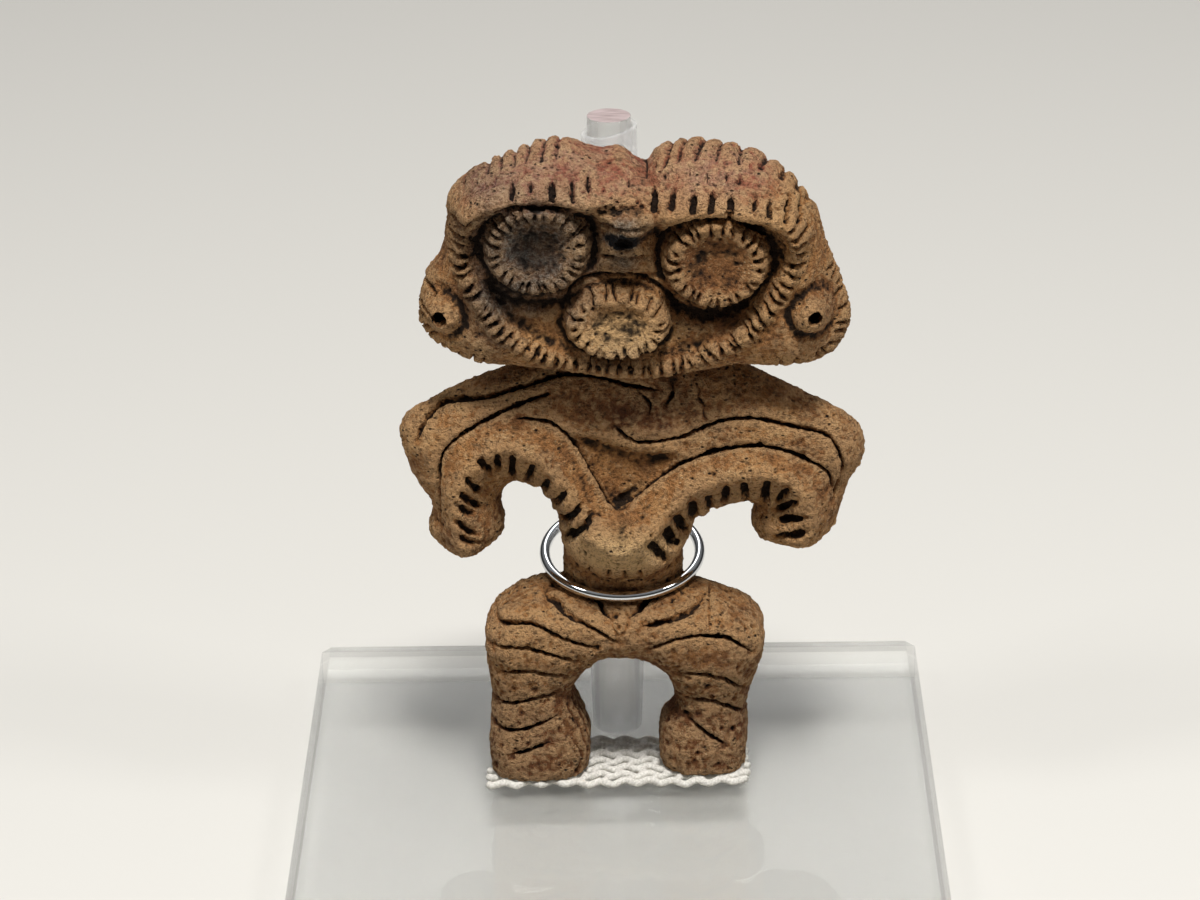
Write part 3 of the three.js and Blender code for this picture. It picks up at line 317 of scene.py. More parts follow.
def modelled(spots):
    """How far the welts, discs and knobs stand out at each spot, in steps, less the hollows there."""
    rise = np.zeros(len(spots))
    for disc, wall in ((LEFT_EYE, 0.5), (RIGHT_EYE, 0.8), (MOUTH, 0.7)):
        share = from_disc(spots, disc)
        rise += wall * (1 - ramp(share, 0.96, 1.06))
        rise += 0.4 * rounded(share - 0.86, 0.2) ** 2 - 0.3 * (1 - ramp(share, 0.4, 0.8))
        rise -= 0.6 * rounded(share - 1.12, 0.14) ** 2
    beside = np.maximum(np.abs(spots[:, 0] - NOSE[0]) - NOSE[2], np.abs(spots[:, 1] - NOSE[1]) - NOSE[3])
    rise += 1 - ramp(beside, -0.8, 0.5) - 0.5 * rounded(beside - 1.1, 1.1)
    for knob in EAR_KNOBS:
        gap = np.hypot(*(spots - knob).T)
        rise += 1.1 * (1 - ramp(gap, EAR_RADIUS - 1.6, EAR_RADIUS + 0.3))
        rise -= 0.7 * rounded(gap - EAR_RADIUS - 0.8, 1.2)
    for welt, wide, tall in ((FACE_WELT, 3.0, 0.9), (LEFT_HOOP, 4.4, 0.5), (RIGHT_HOOP, 4.4, 0.5)):
        rise += tall * stroke(spots, through(welt), wide, 0.5)
    rise += 1.6 * (1 - ramp(from_disc(spots, NOSE_PIT), 0.5, 1.2))
    rise += 2.0 * (1 - ramp(from_disc(spots, NOSE_BRIDGE), 0.3, 1.1))
    for brow in BROWS:
        rise += 0.5 * stroke(spots, through([(x, z + 2.6) for x, z in brow]), 3.2, 1)
    for painted_shade_and_highlight, wide, deep in EYE_HOLLOWS:
        rise -= deep * stroke(spots, through(painted_shade_and_highlight), wide, 3)
    return rise


def banks(spots):
    """How far the clay stands up along the incised lines, which leaves them narrower."""
    rise = np.zeros(len(spots))
    for line in LINES:
        rise = np.maximum(rise, 0.4 * stroke(spots, through(line), 1.4, 2.5))
    return rise


def cut(spots):
    """How deep the incised lines, pits and notches are at each spot, in steps."""
    depth = 1.1 * stroke(spots, through(CHEST_SLOPES), 1.6, 6)
    for line in LINES:
        depth = np.maximum(depth, 1.8 * stroke(spots, through(line), 0.55, 2.5))
    for crack in HAIR_CRACKS:
        depth = np.maximum(depth, 0.55 * stroke(spots, through(crack, 3), 0.4, 1))
    for crease in BROWS:
        depth = np.maximum(depth, 1.5 * stroke(spots, through(crease), 0.75, 4))
    for crease in (OVER_MOUTH, *NOSE_CREASES):
        depth = np.maximum(depth, 1.4 * stroke(spots, through(crease), 0.8, 2))
    pit = from_disc(spots, NOSE_PIT)
    depth = np.maximum(depth, 1.5 * (1 - ramp(pit, 0.4, 1.05)))
    rows = [
        (notches_along(FACE_WELT, 50, 4.3, 0.14, 3), 0.6, 1.5),
        (notches_along(EAR_RIMS[0], 11, 3.1, 0.2, 13), 0.58, 1.2),
        (notches_along(EAR_RIMS[1], 13, 3.1, 0.2, 14), 0.58, 1.2),
        (notches_along(disc_edge(LEFT_EYE, 0.87), 26, 3.4, 0.16, 6), 0.56, 1.6),
        (notches_along(disc_edge(RIGHT_EYE, 0.86), 24, 3.3, 0.2, 7), 0.6, 1.6),
        (notches_along(disc_edge(MOUTH, 0.85), 21, 3.0, 0.18, 8), 0.58, 1.5),
        ([straight(*slit) for slit in BROW_SLITS], 0.65, 1.8),
        ([straight((x, z + 0.5), (x, z - 0.5)) for x, z in CROWN_PITS], 0.6, 1.5),
        ([through(notch) for notch in HOOP_NOTCHES], 0.85, 1.4),
        ([straight(*gash) for gash in HOOP_GASHES], 1.1, 1.2),
        ([straight(*nick) for nick in BELLY_NICKS], 0.8, 1.1),
    ]
    for cuts, half_width, deep in rows:
        for path in cuts:
            depth = np.maximum(depth, deep * stroke(spots, path, half_width, 0.9))
    return depth


def crown_grooves(sculpt, facing):
    """The blunt grooves over the crown's top, with the clay swelling between them."""
    x, y, z = sculpt.T
    depth = np.zeros(len(x))
    for top, front in GROOVES:
        gap = np.abs(x - top - (front - top) * (y - GROOVE_TOP) / (GROOVE_FRONT - GROOVE_TOP))
        valley = 0.15 * (1 - np.clip(gap / 1.8, 0, 1))
        depth = np.maximum(depth, 0.5 * rounded(gap, 0.5) + valley)
    over_top = ramp(y, *GROOVES_BEGIN) * (1 - ramp(y, *GROOVES_END)) * ramp(facing[:, 2], -0.1, 0.3)
    return depth * over_top * ramp(z, 120, 124)


def ankle_furrows(sculpt, facing):
    """Upright furrows down the inner side of the left foot."""
    x, y, z = sculpt.T
    FURROW_PITCH = 1.9
    inside = ramp(facing[:, 0], 0.3, 0.6) * ramp(-x, 3, 4) * (1 - ramp(-x, 12, 14)) * (1 - ramp(z, 15, 20))
    rows = 0.5 + 0.5 * np.cos(2 * math.pi * (y / FURROW_PITCH + 0.1 * np.sin(z)))
    return 0.45 * inside * rows**3


figurine_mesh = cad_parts["dogu_figurine"].data.copy()
joined = bmesh.new()
joined.from_mesh(figurine_mesh)
bmesh.ops.remove_doubles(joined, verts=joined.verts, dist=1e-6)
joined.to_mesh(figurine_mesh)
joined.free()
figurine = new_object("figurine", figurine_mesh)
VOXEL = 0.33 * MM
even = figurine.modifiers.new("even", "REMESH")
even.mode = "VOXEL"
even.voxel_size = VOXEL
figurine_mesh = applied(figurine)


def read(mesh, what):
    """A value of each of a mesh's points, as rows of three."""
    values = np.empty(len(mesh.vertices) * 3, np.float32)
    mesh.vertices.foreach_get(what, values)
    return values.reshape(-1, 3).astype(float)


def mean_of_neighbours(mesh):
    """A function that averages a value of each point over the points joined to it."""
    ends = np.empty(len(mesh.edges) * 2, np.int32)
    mesh.edges.foreach_get("vertices", ends)
    near, far = ends.reshape(-1, 2).T
    joins = np.bincount(ends, minlength=len(mesh.vertices))[:, None]

    def mean(values):
        total = np.stack([
            np.bincount(near, column[far], len(values)) + np.bincount(far, column[near], len(values))
            for column in values.T
        ], 1)
        return total / joins

    return mean


mean = mean_of_neighbours(figurine_mesh)
places = read(figurine_mesh, "co")
on_sole = places[:, 2] < clay_low[2] + VOXEL
SMOOTHINGS = 14
for _ in range(SMOOTHINGS):
    places = np.where(on_sole[:, None], places, (places + mean(places)) / 2)
figurine_mesh.vertices.foreach_set("co", places.astype(np.float32).ravel())
figurine_mesh.update()

facing = read(figurine_mesh, "normal")
sculpt = (places - sculpt_origin) / STEP
in_front = ramp(-facing[:, 1], -0.1, 0.35) * ramp(-sculpt[:, 1], 6, 10)
round_edge = ramp(-facing[:, 1], -0.45, 0.1) * ramp(-sculpt[:, 1], 8, 12)
seen = sculpt[:, [0, 2]]
places[:, 1] -= modelled(seen) * in_front * ramp(-facing[:, 1], 0.2, 0.6) * STEP
furrows = crown_grooves(sculpt, facing) + ankle_furrows(sculpt, facing)
places -= facing * (((cut(seen) - banks(seen)) * round_edge + furrows) * STEP)[:, None]

# Grit that burned or fell out left open pits, most of all on the crown, the welts and the legs.
PITS = 2600
PIT_SMALLEST, PIT_SPREAD = 0.35, 0.5  # radius in steps, and how much larger the largest may be
PIT_DEPTH = 0.75  # as a share of its radius
SMOOTHER_HERE = 0.45  # how many pits the smoother parts keep
chance = np.random.default_rng(21)
cloud = KDTree(len(places))
for index, place in enumerate(places):
    cloud.insert(place, index)
cloud.balance()
for index in chance.choice(len(places), PITS, replace=False):
    x, y, z = sculpt[index]
    rough_here = 1 if z > 118 or z < 40 or 42 < z < 56 else SMOOTHER_HERE
    if chance.random() > rough_here or on_sole[index]:
        continue
    size = (PIT_SMALLEST + PIT_SPREAD * chance.random() ** 2) * (0.7 + 0.3 * rough_here) * STEP
    for place, other, gap in cloud.find_range(Vector(places[index]), size):
        places[other] -= facing[other] * (PIT_DEPTH * size * (1 - (gap / size) ** 2))
places[:, 2] = np.maximum(places[:, 2], clay_low[2])
figurine_mesh.vertices.foreach_set("co", places.astype(np.float32).ravel())
figurine_mesh.update()

for name, lump, strength in (("kneaded", 5 * MM, 0.6 * MM), ("gritty", 1.1 * MM, 0.75 * MM)):
    lumps = bpy.data.textures.new(name, "CLOUDS")
    lumps.noise_scale = lump
    lumps.noise_depth = 2
    rough = figurine.modifiers.new(name, "DISPLACE")
    rough.texture = lumps
    rough.texture_coords = "LOCAL"
    rough.strength = strength
    rough.mid_level = 0.5
FINE_TRIANGLES = 190000
thin = figurine.modifiers.new("thin", "DECIMATE")
thin.ratio = min(1, FINE_TRIANGLES / (2 * len(figurine_mesh.polygons)))
figurine_mesh = applied(figurine)
figurine_mesh.shade_smooth()

# What the clay's colour depends on is kept on its points: how far each lies below its surroundings,
# which sets the painted shade in the hollows and the painted highlight on the crests, the soot, the
# crown's redness, the belly and mouth that are rubbed bare and lightened further as a painted highlight,
# and a painted reddish-brown shade on the chest under the chin and down the legs, which also darkens
# the right eye.
places = read(figurine_mesh, "co")
facing = read(figurine_mesh, "normal")
mean = mean_of_neighbours(figurine_mesh)
settled = places.copy()
SETTLINGS = 10
for _ in range(SETTLINGS):
    settled = mean(settled)
sunk = np.einsum("ij,ij->i", settled - places, facing) / MM
x, y, z = ((places - sculpt_origin) / STEP).T
SOOT = [  # x and height, half width and half height, and how black
    (-14.5, 116, 13.5, 12.5, 0.95), (2.4, 118.6, 2.9, 1.9, 4), (2.2, 113.6, 3.4, 3.4, 0.9),
    (3.4, 122.2, 5.5, 2.4, 0.75), (-20, 106.5, 8, 6, 0.85), (-22, 128, 8, 3, 0.5), (-24, 100, 6, 8, 0.5),
    (1, 94, 7, 5, 0.3), (-6, 105, 5, 5, 0.45),
]
soot = np.zeros(len(x))
for middle_x, middle_z, wide, tall, black in SOOT:
    far = ((x - middle_x) / wide) ** 2 + ((z - middle_z) / tall) ** 2
    soot = np.maximum(soot, black * np.exp(-(far**1.5)))
soot = np.clip(soot, 0, 1) * ramp(-y, 8, 14)
red = ramp(z, 122, 130) * (1 - 0.7 * ramp(x, 28, 36))
# Rubbed bare on the belly and mouth, and lighter there also as a painted highlight.
rubbed_and_highlit = np.exp(-(((x - 1) / 11) ** 2 + ((z - 51) / 5) ** 2) ** 2)
rubbed_and_highlit = np.maximum(rubbed_and_highlit, 0.8 * np.exp(-(((x - 2) / 8) ** 2 + ((z - 99) / 5) ** 2) ** 2)) * ramp(-y, 8, 14)
# Painted shade: reddish brown towards the bottom of the legs and on the chest under the chin; the last term
# darkens the right eye.
painted_shade_and_dark_eye = 0.7 * (1 - ramp(z, 10, 38)) + 0.8 * np.exp(-((x - 5) / 18) ** 2 - ((z - 79) / 5.5) ** 2)
painted_shade_and_dark_eye += 0.5 * np.exp(-(((x - 20) / 10) ** 2 + ((z - 113) / 9) ** 2) ** 2)
marks_and_shade = figurine_mesh.color_attributes.new("marks_and_shade", "FLOAT_COLOR", "POINT")
# Painted shade in the hollows and a painted highlight on the crests, from how far each point lies below its
# surroundings.
painted_shade_and_highlight = np.clip(sunk * 1.2 + 0.5, 0, 1)
marks_and_shade.data.foreach_set("color", np.stack([painted_shade_and_highlight, soot, red, rubbed_and_highlit], 1).astype(np.float32).ravel())

shade_and_dark_eye = figurine_mesh.attributes.new("shade_and_dark_eye", "FLOAT", "POINT")
shade_and_dark_eye.data.foreach_set("value", painted_shade_and_dark_eye.astype(np.float32))

# Low-fired earthenware with sand in it: dull and dry, tan where it was rubbed, with painted shade that
# darkens its hollows and painted highlights on its crests and on the rubbed belly and mouth, full of
# small open pores, most of them drawn out sideways by the hand that smoothed it.
clay, clay_out = new_material("fired_clay")
where = add_node(clay, "TexCoord").outputs["Object"]
mark_and_shade = add_node(clay, "Attribute", {"attribute_name": "marks_and_shade"})
mark_and_shade_parts = add_node(clay, "SeparateColor", Color=mark_and_shade.outputs["Color"])
PATCH_MM, CLOUD_MM, GRAIN_MM, PORE_MM, SAND_MM, STREAK_MM = 24, 5, 0.7, 1.1, 1.0, 1.1
patches = add_node(clay, "TexNoise", {"Scale": 1000 / PATCH_MM, "Detail": 3}, Vector=where)
clouds = add_node(clay, "TexNoise", {"Scale": 1000 / CLOUD_MM, "Detail": 6, "Roughness": 0.65}, Vector=where)
grain = add_node(clay, "TexNoise", {"Scale": 1000 / GRAIN_MM, "Detail": 3, "Roughness": 0.75}, Vector=where)
drawn = add_node(clay, "Mapping", {"Scale": (0.65, 0.65, 1)}, Vector=where)
pores = add_node(clay, "TexVoronoi", {"Scale": 1000 / PORE_MM}, Vector=drawn.outputs[0])
streaks = add_node(clay, "TexNoise", {"Scale": 1000 / STREAK_MM, "Detail": 4, "Roughness": 0.7},
                   Vector=drawn.outputs[0])
sand = add_node(clay, "TexVoronoi", {"Scale": 1000 / SAND_MM}, Vector=where)


def mixed(material, share, dark, light, blend="MIX"):
    """A colour between two others: each value is a hex code, a plain share or another node's output."""
    made = add_node(material, "Mix", {"data_type": "RGBA", "blend_type": blend})
    for index, value in ((0, share), (6, dark), (7, light)):
        if isinstance(value, str):
            made.inputs[index].default_value = srgb(value)
        elif isinstance(value, (int, float)):
            made.inputs[index].default_value = value
        else:
            material.node_tree.links.new(value, made.inputs[index])
    return made.outputs[2]


def ranged(material, value, low, high, start=0.0, end=1.0):
    """A value stretched from one range to another and held at its ends."""
    settings = {"clamp": True, 1: low, 2: high, 3: start, 4: end}
    return add_node(material, "MapRange", settings, Value=value).outputs[0]


def times(material, first, second):
    """The product of two values."""
    return add_node(material, "Math", {"operation": "MULTIPLY"}, _0=first, _1=second).outputs[0]


body = mixed(clay, ranged(clay, patches.outputs["Fac"], 0.38, 0.62), "#97663c", "#b9834e")
body = mixed(clay, ranged(clay, clouds.outputs["Fac"], 0.5, 0.72, 0, 0.75), body, "#cfa06a")
body = mixed(clay, ranged(clay, clouds.outputs["Fac"], 0.48, 0.3, 0, 0.75), body, "#6c472c")
redder = mixed(clay, ranged(clay, clouds.outputs["Fac"], 0.42, 0.6), "#9f5c47", "#b58a6e")
red_here = times(clay, mark_and_shade_parts.outputs["Blue"], ranged(clay, patches.outputs["Fac"], 0.3, 0.55, 0.5, 1))
body = mixed(clay, red_here, body, redder)
# Painted reddish-brown shade on the legs and chest, and a darker right eye.
shade_and_dark_eye_here = add_node(clay, "Attribute", {"attribute_name": "shade_and_dark_eye"}).outputs["Fac"]
body = mixed(clay, shade_and_dark_eye_here, body, "#5a2f1c")
# Rubbed bare, lightened further as a painted highlight.
body = mixed(clay, mark_and_shade.outputs["Alpha"], body, "#d6af7a")
body = mixed(clay, ranged(clay, grain.outputs["Fac"], 0.58, 0.78, 0, 0.5), body, "#d9b483")
sandy = times(clay, ranged(clay, sand.outputs["Distance"], 0.24, 0.12, 0, 0.6),
              ranged(clay, clouds.outputs["Fac"], 0.45, 0.6))
body = mixed(clay, sandy, body, "#d8bd93")
# Painted highlight: lighter on the crests.
body = mixed(clay, ranged(clay, mark_and_shade_parts.outputs["Red"], 0.48, 0.2, 0, 0.45), body, "#d9b281")
soot_here = times(clay, mark_and_shade_parts.outputs["Green"], ranged(clay, clouds.outputs["Fac"], 0.3, 0.62, 1.1, 0.6))
sooty = mixed(clay, ranged(clay, grain.outputs["Fac"], 0.42, 0.66), "#2b2d2e", "#85837a")
body = mixed(clay, soot_here, body, sooty)
body = mixed(clay, ranged(clay, mark_and_shade_parts.outputs["Green"], 0.88, 1), body, "#0e1216")
body = mixed(clay, ranged(clay, grain.outputs["Fac"], 0.5, 0.34, 0, 0.6), body, "#38251a")
body = mixed(clay, ranged(clay, streaks.outputs["Fac"], 0.44, 0.34, 0, 0.6), body, "#3a2618")
pore_here = times(clay, ranged(clay, pores.outputs["Distance"], 0.27, 0.12),
                  ranged(clay, clouds.outputs["Fac"], 0.46, 0.6))
body = mixed(clay, pore_here, body, "#1b110b")
# Painted shade: near black in the hollows.
body = mixed(clay, ranged(clay, mark_and_shade_parts.outputs["Red"], 0.62, 0.95, 0, 0.95), body, "#150d08")
relief = add_node(clay, "Math", {"operation": "MULTIPLY_ADD", 1: 0.8}, _0=streaks.outputs["Fac"],
                  _2=grain.outputs["Fac"])
relief = add_node(clay, "Math", {"operation": "MULTIPLY_ADD", 1: -0.7}, _0=pore_here, _2=relief.outputs[0])
bump = add_node(clay, "Bump", {"Strength": 1.0, "Distance": 2.0 * MM}, Height=relief.outputs[0])
dull = ranged(clay, clouds.outputs["Fac"], 0.3, 0.7, 0.85, 0.97)
clay_shader = add_node(clay, "BsdfPrincipled", {"IOR": 1.5, "Specular IOR Level": 0.2}, Base_Color=body,
                       Roughness=dull, Normal=bump.outputs[0])
clay.node_tree.links.new(clay_shader.outputs[0], clay_out.inputs["Surface"])
figurine.data.materials.clear()
figurine.data.materials.append(clay)
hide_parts("dogu_figurine")


# The waist ring is one turn of round stainless wire, welded and polished like a mirror. It holds the
# waist to the rod and rests on the hips, its front edge lower than its back.
ring_low, ring_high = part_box("waist_ring")
WIRE = 2.2 * MM
ring_radius = (ring_high[0] - ring_low[0] - WIRE) / 2
ring_tilt = math.asin((ring_high[2] - ring_low[2] - WIRE) / (2 * ring_radius))
ring_centre = (Vector(ring_low) + Vector(ring_high)) / 2

steel, steel_out = new_material("polished_steel")
where = add_node(steel, "TexCoord").outputs["Object"]
POLISH_MM = 3
haze = add_node(steel, "TexNoise", {"Scale": 1000 / POLISH_MM, "Detail": 2}, Vector=where)
steel_shader = add_node(steel, "BsdfPrincipled", {"Base Color": srgb("#d6d8da"), "Metallic": 1.0},
                        Roughness=ranged(steel, haze.outputs["Fac"], 0.3, 0.7, 0.05, 0.1))
steel.node_tree.links.new(steel_shader.outputs[0], steel_out.inputs["Surface"])

turned_wire = bmesh.new()
on_edge = Matrix.Translation((ring_radius, 0, 0)) @ Matrix.Rotation(math.pi / 2, 4, "X")
bmesh.ops.create_circle(turned_wire, segments=20, radius=WIRE / 2, matrix=on_edge)
bmesh.ops.spin(turned_wire, geom=turned_wire.edges[:], cent=(0, 0, 0), axis=(0, 0, 1), angle=2 * math.pi,
               steps=120, use_merge=True)
bmesh.ops.remove_doubles(turned_wire, verts=turned_wire.verts, dist=1e-6)
bmesh.ops.recalc_face_normals(turned_wire, faces=turned_wire.faces)
turned_wire.transform(Matrix.Translation(ring_centre) @ Matrix.Rotation(ring_tilt, 4, "X"))
ring_mesh = bpy.data.meshes.new("ring")
turned_wire.to_mesh(ring_mesh)
turned_wire.free()
ring_mesh.shade_smooth()
ring = new_object("ring", ring_mesh, steel)
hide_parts("waist_ring")


# The rod is a length of cast acrylic, sawn off square: its sides are clear and glossy, and its upper
# end keeps the saw's fine marks; its greyish pink there is painted reflected light.
acrylic, acrylic_out = new_material("clear_acrylic")
where = add_node(acrylic, "TexCoord").outputs["Object"]
SCRATCH_MM = 8
wear = add_node(acrylic, "TexNoise", {"Scale": 1000 / SCRATCH_MM, "Detail": 6, "Roughness": 0.7},
                Vector=where)
glassy = {"Base Color": srgb("#fafcfb"), "IOR": 1.49, "Transmission Weight": 1.0, "Alpha": 0.5}
acrylic_shader = add_node(acrylic, "BsdfPrincipled", glassy,
                          Roughness=ranged(acrylic, wear.outputs["Fac"], 0.55, 0.8, 0.0, 0.06))
acrylic.node_tree.links.new(acrylic_shader.outputs[0], acrylic_out.inputs["Surface"])

sawn, sawn_out = new_material("sawn_acrylic_end")
where = add_node(sawn, "TexCoord").outputs["Object"]
SAW_MM = 0.5
SAW_STRETCH = 8
SAW_TURN = 1.3
stretched = add_node(sawn, "Mapping", {"Scale": (1, SAW_STRETCH, 1), "Rotation": (0, 0, SAW_TURN)},
                     Vector=where)
saw_marks = add_node(sawn, "TexNoise", {"Scale": 1000 / SAW_MM / SAW_STRETCH, "Detail": 3},
                     Vector=stretched.outputs[0])
# Painted reflected light: the sawn end's greyish pink.
sawn_tint_and_reflection = mixed(sawn, ranged(sawn, saw_marks.outputs["Fac"], 0.35, 0.65), "#93827f", "#b8a7a5")
sawn_bump = add_node(sawn, "Bump", {"Strength": 0.3, "Distance": 0.1 * MM}, Height=saw_marks.outputs["Fac"])
sawn_shader = add_node(sawn, "BsdfPrincipled", {"IOR": 1.49, "Roughness": 0.35}, Base_Color=sawn_tint_and_reflection,
                       Normal=sawn_bump.outputs[0])
sawn.node_tree.links.new(sawn_shader.outputs[0], sawn_out.inputs["Surface"])

rod_radius = (post_high[0] - post_low[0]) / 2
rod_middle = (Vector(post_low) + Vector(post_high)) / 2
rod_body = bmesh.new()
bmesh.ops.create_cone(rod_body, cap_ends=True, segments=96, radius1=rod_radius, radius2=rod_radius,
                      depth=post_high[2] - post_low[2], matrix=Matrix.Translation(rod_middle))
rims = [e for e in rod_body.edges if abs(e.verts[0].co.z - e.verts[1].co.z) < 1e-6]
bmesh.ops.bevel(rod_body, geom=rims, offset=0.12 * MM, offset_type="OFFSET", segments=2, profile=0.5,
                affect="EDGES", material=-1)
for face in rod_body.faces:
    face.material_index = 1 if len(face.verts) > 4 and face.normal.z > 0.9 else 0
    face.smooth = len(face.verts) <= 4
rod_mesh = bpy.data.meshes.new("rod")
rod_body.to_mesh(rod_mesh)
rod_body.free()
rod = new_object("rod", rod_mesh, acrylic, sawn)
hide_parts("post")


# The sleeve is soft clear tubing pushed over the rod so that nothing hard touches the clay. It is cut
# a little slantwise at the top, pulled thin at its foot, and looks slightly milky.
tubing, tubing_out = new_material("soft_clear_tubing")
where = add_node(tubing, "TexCoord").outputs["Object"]
MILK_MM = 10
milk = add_node(tubing, "TexNoise", {"Scale": 1000 / MILK_MM, "Detail": 3}, Vector=where)
milky = {"Base Color": srgb("#ffffff"), "IOR": 1.4, "Transmission Weight": 0.6, "Alpha": 0.4}
tubing_shader = add_node(tubing, "BsdfPrincipled", milky,
                         Roughness=ranged(tubing, milk.outputs["Fac"], 0.35, 0.65, 0.2, 0.26))
tubing.node_tree.links.new(tubing_shader.outputs[0], tubing_out.inputs["Surface"])

SLEEVE_WALL = 0.9 * MM
SLEEVE_FOOT = 10.2 * MM
FOOT_TAPER = 14 * MM
TOP_SLANT = 2.1 * MM
tube_outer = (sleeve_high[0] - sleeve_low[0]) / 2
tube_bore = tube_outer - SLEEVE_WALL
tube_length = sleeve_high[2] - sleeve_low[2] - TOP_SLANT / 2
tube = bmesh.new()
corners = [(tube_bore, 0), (SLEEVE_FOOT / 2, 0), (tube_outer, FOOT_TAPER), (tube_outer, tube_length),
           (tube_bore, tube_length)]
loop = [tube.verts.new((radius, 0, height)) for radius, height in corners]
for a, b in zip(loop, loop[1:] + loop[:1]):
    tube.edges.new((a, b))
bmesh.ops.spin(tube, geom=tube.edges[:], cent=(0, 0, 0), axis=(0, 0, 1), angle=2 * math.pi, steps=96,
               use_merge=True)
bmesh.ops.remove_doubles(tube, verts=tube.verts, dist=1e-6)
bmesh.ops.recalc_face_normals(tube, faces=tube.faces)
lip = [e for e in tube.edges if min(v.co.z for v in e.verts) > tube_length - 1e-6]
lip = [e for e in lip if abs(e.verts[0].co.xy.length - e.verts[1].co.xy.length) < 1e-6]
bmesh.ops.bevel(tube, geom=lip, offset=0.25 * MM, offset_type="OFFSET", segments=3, profile=0.5,
                affect="EDGES", material=-1)
for vert in tube.verts:
    if vert.co.z > tube_length - MM:
        vert.co.z += TOP_SLANT / 2 * vert.co.x / tube_outer
tube.transform(Matrix.Translation((rod_middle.x, rod_middle.y, sleeve_low[2])))
tube_mesh = bpy.data.meshes.new("sleeve")
tube.to_mesh(tube_mesh)
tube.free()
tube_mesh.shade_smooth()
sleeve = new_object("sleeve", tube_mesh, tubing)
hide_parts("post_sleeve")


# The plate is a square of thick clear acrylic with wide polished bevels round its upper face.
plate_low, plate_high = (Vector(corner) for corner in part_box("base_plate"))
BEVEL_WIDTH = 3.3 * MM
BEVEL_DROP = 2.4 * MM
plate_size = plate_high - plate_low
block_high = plate_size.z - BEVEL_DROP
block_middle = Vector((*((plate_low + plate_high) / 2).xy, plate_low.z + block_high / 2))
block = Matrix.Diagonal((plate_size.x, plate_size.y, block_high, 1))
plate_body = bmesh.new()
bmesh.ops.create_cube(plate_body, size=1, matrix=Matrix.Translation(block_middle) @ block)
plate_body.normal_update()
top = [f for f in plate_body.faces if f.normal.z > 0.9]
bmesh.ops.inset_individual(plate_body, faces=top, thickness=BEVEL_WIDTH, depth=BEVEL_DROP)
bmesh.ops.bevel(plate_body, geom=plate_body.edges[:], offset=0.18 * MM, offset_type="OFFSET", segments=2,
                profile=0.5, affect="EDGES", material=-1)
plate_mesh = bpy.data.meshes.new("plate")
plate_body.to_mesh(plate_mesh)
plate_body.free()
plate = new_object("plate", plate_mesh, acrylic)
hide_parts("base_plate")


# The grip strip is non-slip netting cut with scissors: wavy strands coated in soft foam, joined by
# slanting threads that leave narrow slits between them, with frayed ends.
mat_low, mat_high = (Vector(corner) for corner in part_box("grip_mat"))
mat_size = mat_high - mat_low
mat_middle = (mat_low + mat_high) / 2
STRAND = 1.6 * MM
WAVE = 4.9 * MM
SWING = 0.85 * MM
FRAY = 1.3 * MM
ROWS = 7
foam, foam_out = new_material("foam_netting")
where = add_node(foam, "TexCoord").outputs["Object"]
CRUMB_MM = 0.5
crumb = add_node(foam, "TexNoise", {"Scale": 1000 / CRUMB_MM, "Detail": 3}, Vector=where)
foam_colour = mixed(foam, ranged(foam, crumb.outputs["Fac"], 0.35, 0.65), "#bab5ab", "#dedad1")
foam_bump = add_node(foam, "Bump", {"Strength": 0.5, "Distance": 0.2 * MM}, Height=crumb.outputs["Fac"])
foam_shader = add_node(foam, "BsdfPrincipled", {"IOR": 1.5, "Roughness": 0.85}, Base_Color=foam_colour,
                       Normal=foam_bump.outputs[0])
foam.node_tree.links.new(foam_shader.outputs[0], foam_out.inputs["Surface"])

strands = bpy.data.curves.new("strands", "CURVE")
strands.dimensions = "3D"
strands.bevel_depth = STRAND / 2
strands.bevel_resolution = 2
strands.use_fill_caps = True
frayed = np.random.default_rng(11)
row_span = mat_size.y - STRAND - 2 * SWING
row_pitch = row_span / (ROWS - 1)
half_run = (mat_size.x - STRAND) / 2
THREAD_LEAN = 0.2 * WAVE


def strand(points):
    """One round strand of the netting through points in the plane of the mat."""
    spline = strands.splines.new("POLY")
    spline.points.add(len(points) - 1)
    for point, (x, y) in zip(spline.points, points):
        point.co = (x, y, 0.06 * MM * math.sin(x * 900 + y * 700), 1)


def wave(x):
    """A triangle wave with rounded tips."""
    return SWING * math.asin(0.93 * math.sin(x / WAVE * 2 * math.pi)) / math.asin(0.93)


for row in range(ROWS):
    middle = -row_span / 2 + row * row_pitch
    start, end = (-1 + FRAY * frayed.random() / half_run, 1 - FRAY * frayed.random() / half_run)
    drift = 0.25 * MM * frayed.normal()
    run = np.linspace(start, end, 120)
    strand([(x * half_run, middle + wave(x * half_run) + drift * math.sin(9 * x)) for x in run])
    if row + 1 < ROWS:
        for x in np.arange(-half_run + WAVE * (0.4 if row % 2 else 0.9), half_run - FRAY, WAVE):
            ahead = x + THREAD_LEAN
            strand([(x, middle + wave(x)), (ahead, middle + row_pitch + wave(ahead))])
netting = bpy.data.objects.new("netting", strands)
bpy.context.scene.collection.objects.link(netting)
bpy.context.view_layer.update()
net_mesh = bpy.data.meshes.new_from_object(netting.evaluated_get(bpy.context.evaluated_depsgraph_get()))
bpy.data.objects.remove(netting)
net_mesh.transform(Matrix.Translation(mat_middle))
strip = new_object("grip_strip", net_mesh)
melted = strip.modifiers.new("melted", "REMESH")
melted.mode = "VOXEL"
melted.voxel_size = 0.24 * MM
softer = strip.modifiers.new("softer", "SMOOTH")
softer.factor = 0.5
softer.iterations = 5
applied(strip).shade_smooth()
strip.data.materials.clear()
strip.data.materials.append(foam)
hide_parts("grip_mat")


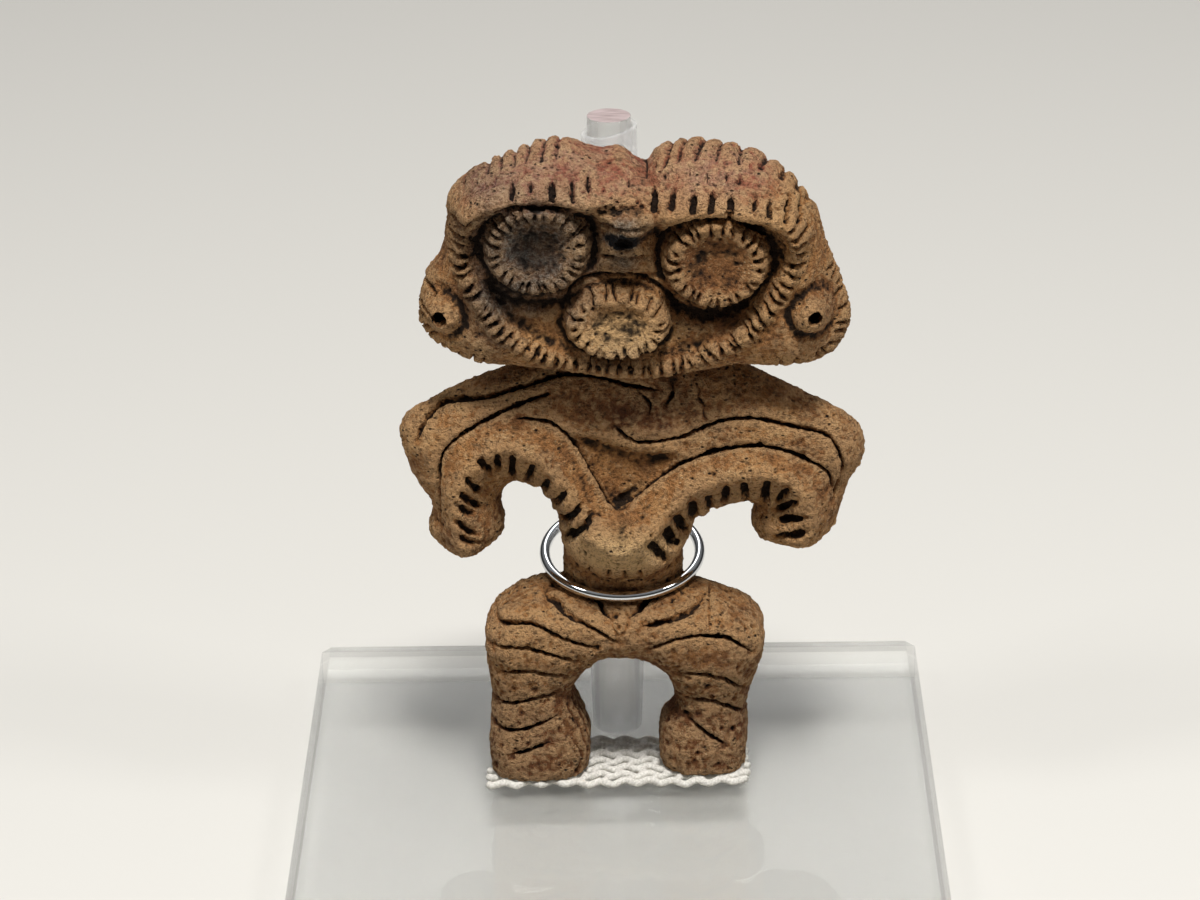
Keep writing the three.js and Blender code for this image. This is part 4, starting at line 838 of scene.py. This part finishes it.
# The floor is a plain pale studio sweep. One soft lamp hangs above and in front, two weaker ones stand
# at the sides and one behind, and the dark horizon gives the steel its bands.
floor_mesh = bpy.data.meshes.new("floor")
FLOOR_DROP = 0.4 * MM  # under the plate, so that the two faces don't fight
sweep = bmesh.new()
bmesh.ops.create_grid(sweep, x_segments=1, y_segments=1, size=3)
sweep.transform(Matrix.Translation((0, 0, -FLOOR_DROP)))
sweep.to_mesh(floor_mesh)
sweep.free()
floor = bpy.data.objects.new("floor", floor_mesh)
bpy.context.scene.collection.objects.link(floor)
pale, pale_out = new_material("pale_floor")
pale_shader = add_node(pale, "BsdfPrincipled", {"Base Color": srgb("#cdcac3"), "Roughness": 0.9})
pale.node_tree.links.new(pale_shader.outputs[0], pale_out.inputs["Surface"])
floor_mesh.materials.append(pale)


def soft_light(name, place, target, size, watts):
    """A square area light aimed at a point."""
    lamp = bpy.data.lights.new(name, "AREA")
    lamp.size = size
    lamp.energy = watts
    made = bpy.data.objects.new(name, lamp)
    aimed = (Vector(target) - Vector(place)).to_track_quat("-Z", "Y").to_matrix().to_4x4()
    made.matrix_world = Matrix.Translation(place) @ aimed
    bpy.context.scene.collection.objects.link(made)


FIGURE_MIDDLE = (0, 0, 0.08)
soft_light("overhead", (0.08, -0.5, 1.25), FIGURE_MIDDLE, 0.22, 18.5)
soft_light("left_strip", (-0.8, -0.34, 1.05), FIGURE_MIDDLE, 0.25, 3)
soft_light("right_strip", (0.9, -0.34, 1.0), FIGURE_MIDDLE, 0.25, 3)
soft_light("behind", (0, 0.9, 1.1), (0, 0, 0.02), 0.4, 2)
world = bpy.data.worlds.new("studio")
world.use_nodes = True
sky = world.node_tree.nodes["Background"]
sky.inputs["Color"].default_value = srgb("#f2f3f5")
up = add_node(world, "SeparateXYZ", Vector=add_node(world, "TexCoord").outputs["Generated"]).outputs["Z"]
world.node_tree.links.new(ranged(world, up, 0.3, 0.85, 0.04, 0.35), sky.inputs["Strength"])
bpy.context.scene.world = world
bpy.context.scene.view_settings.view_transform = "Standard"
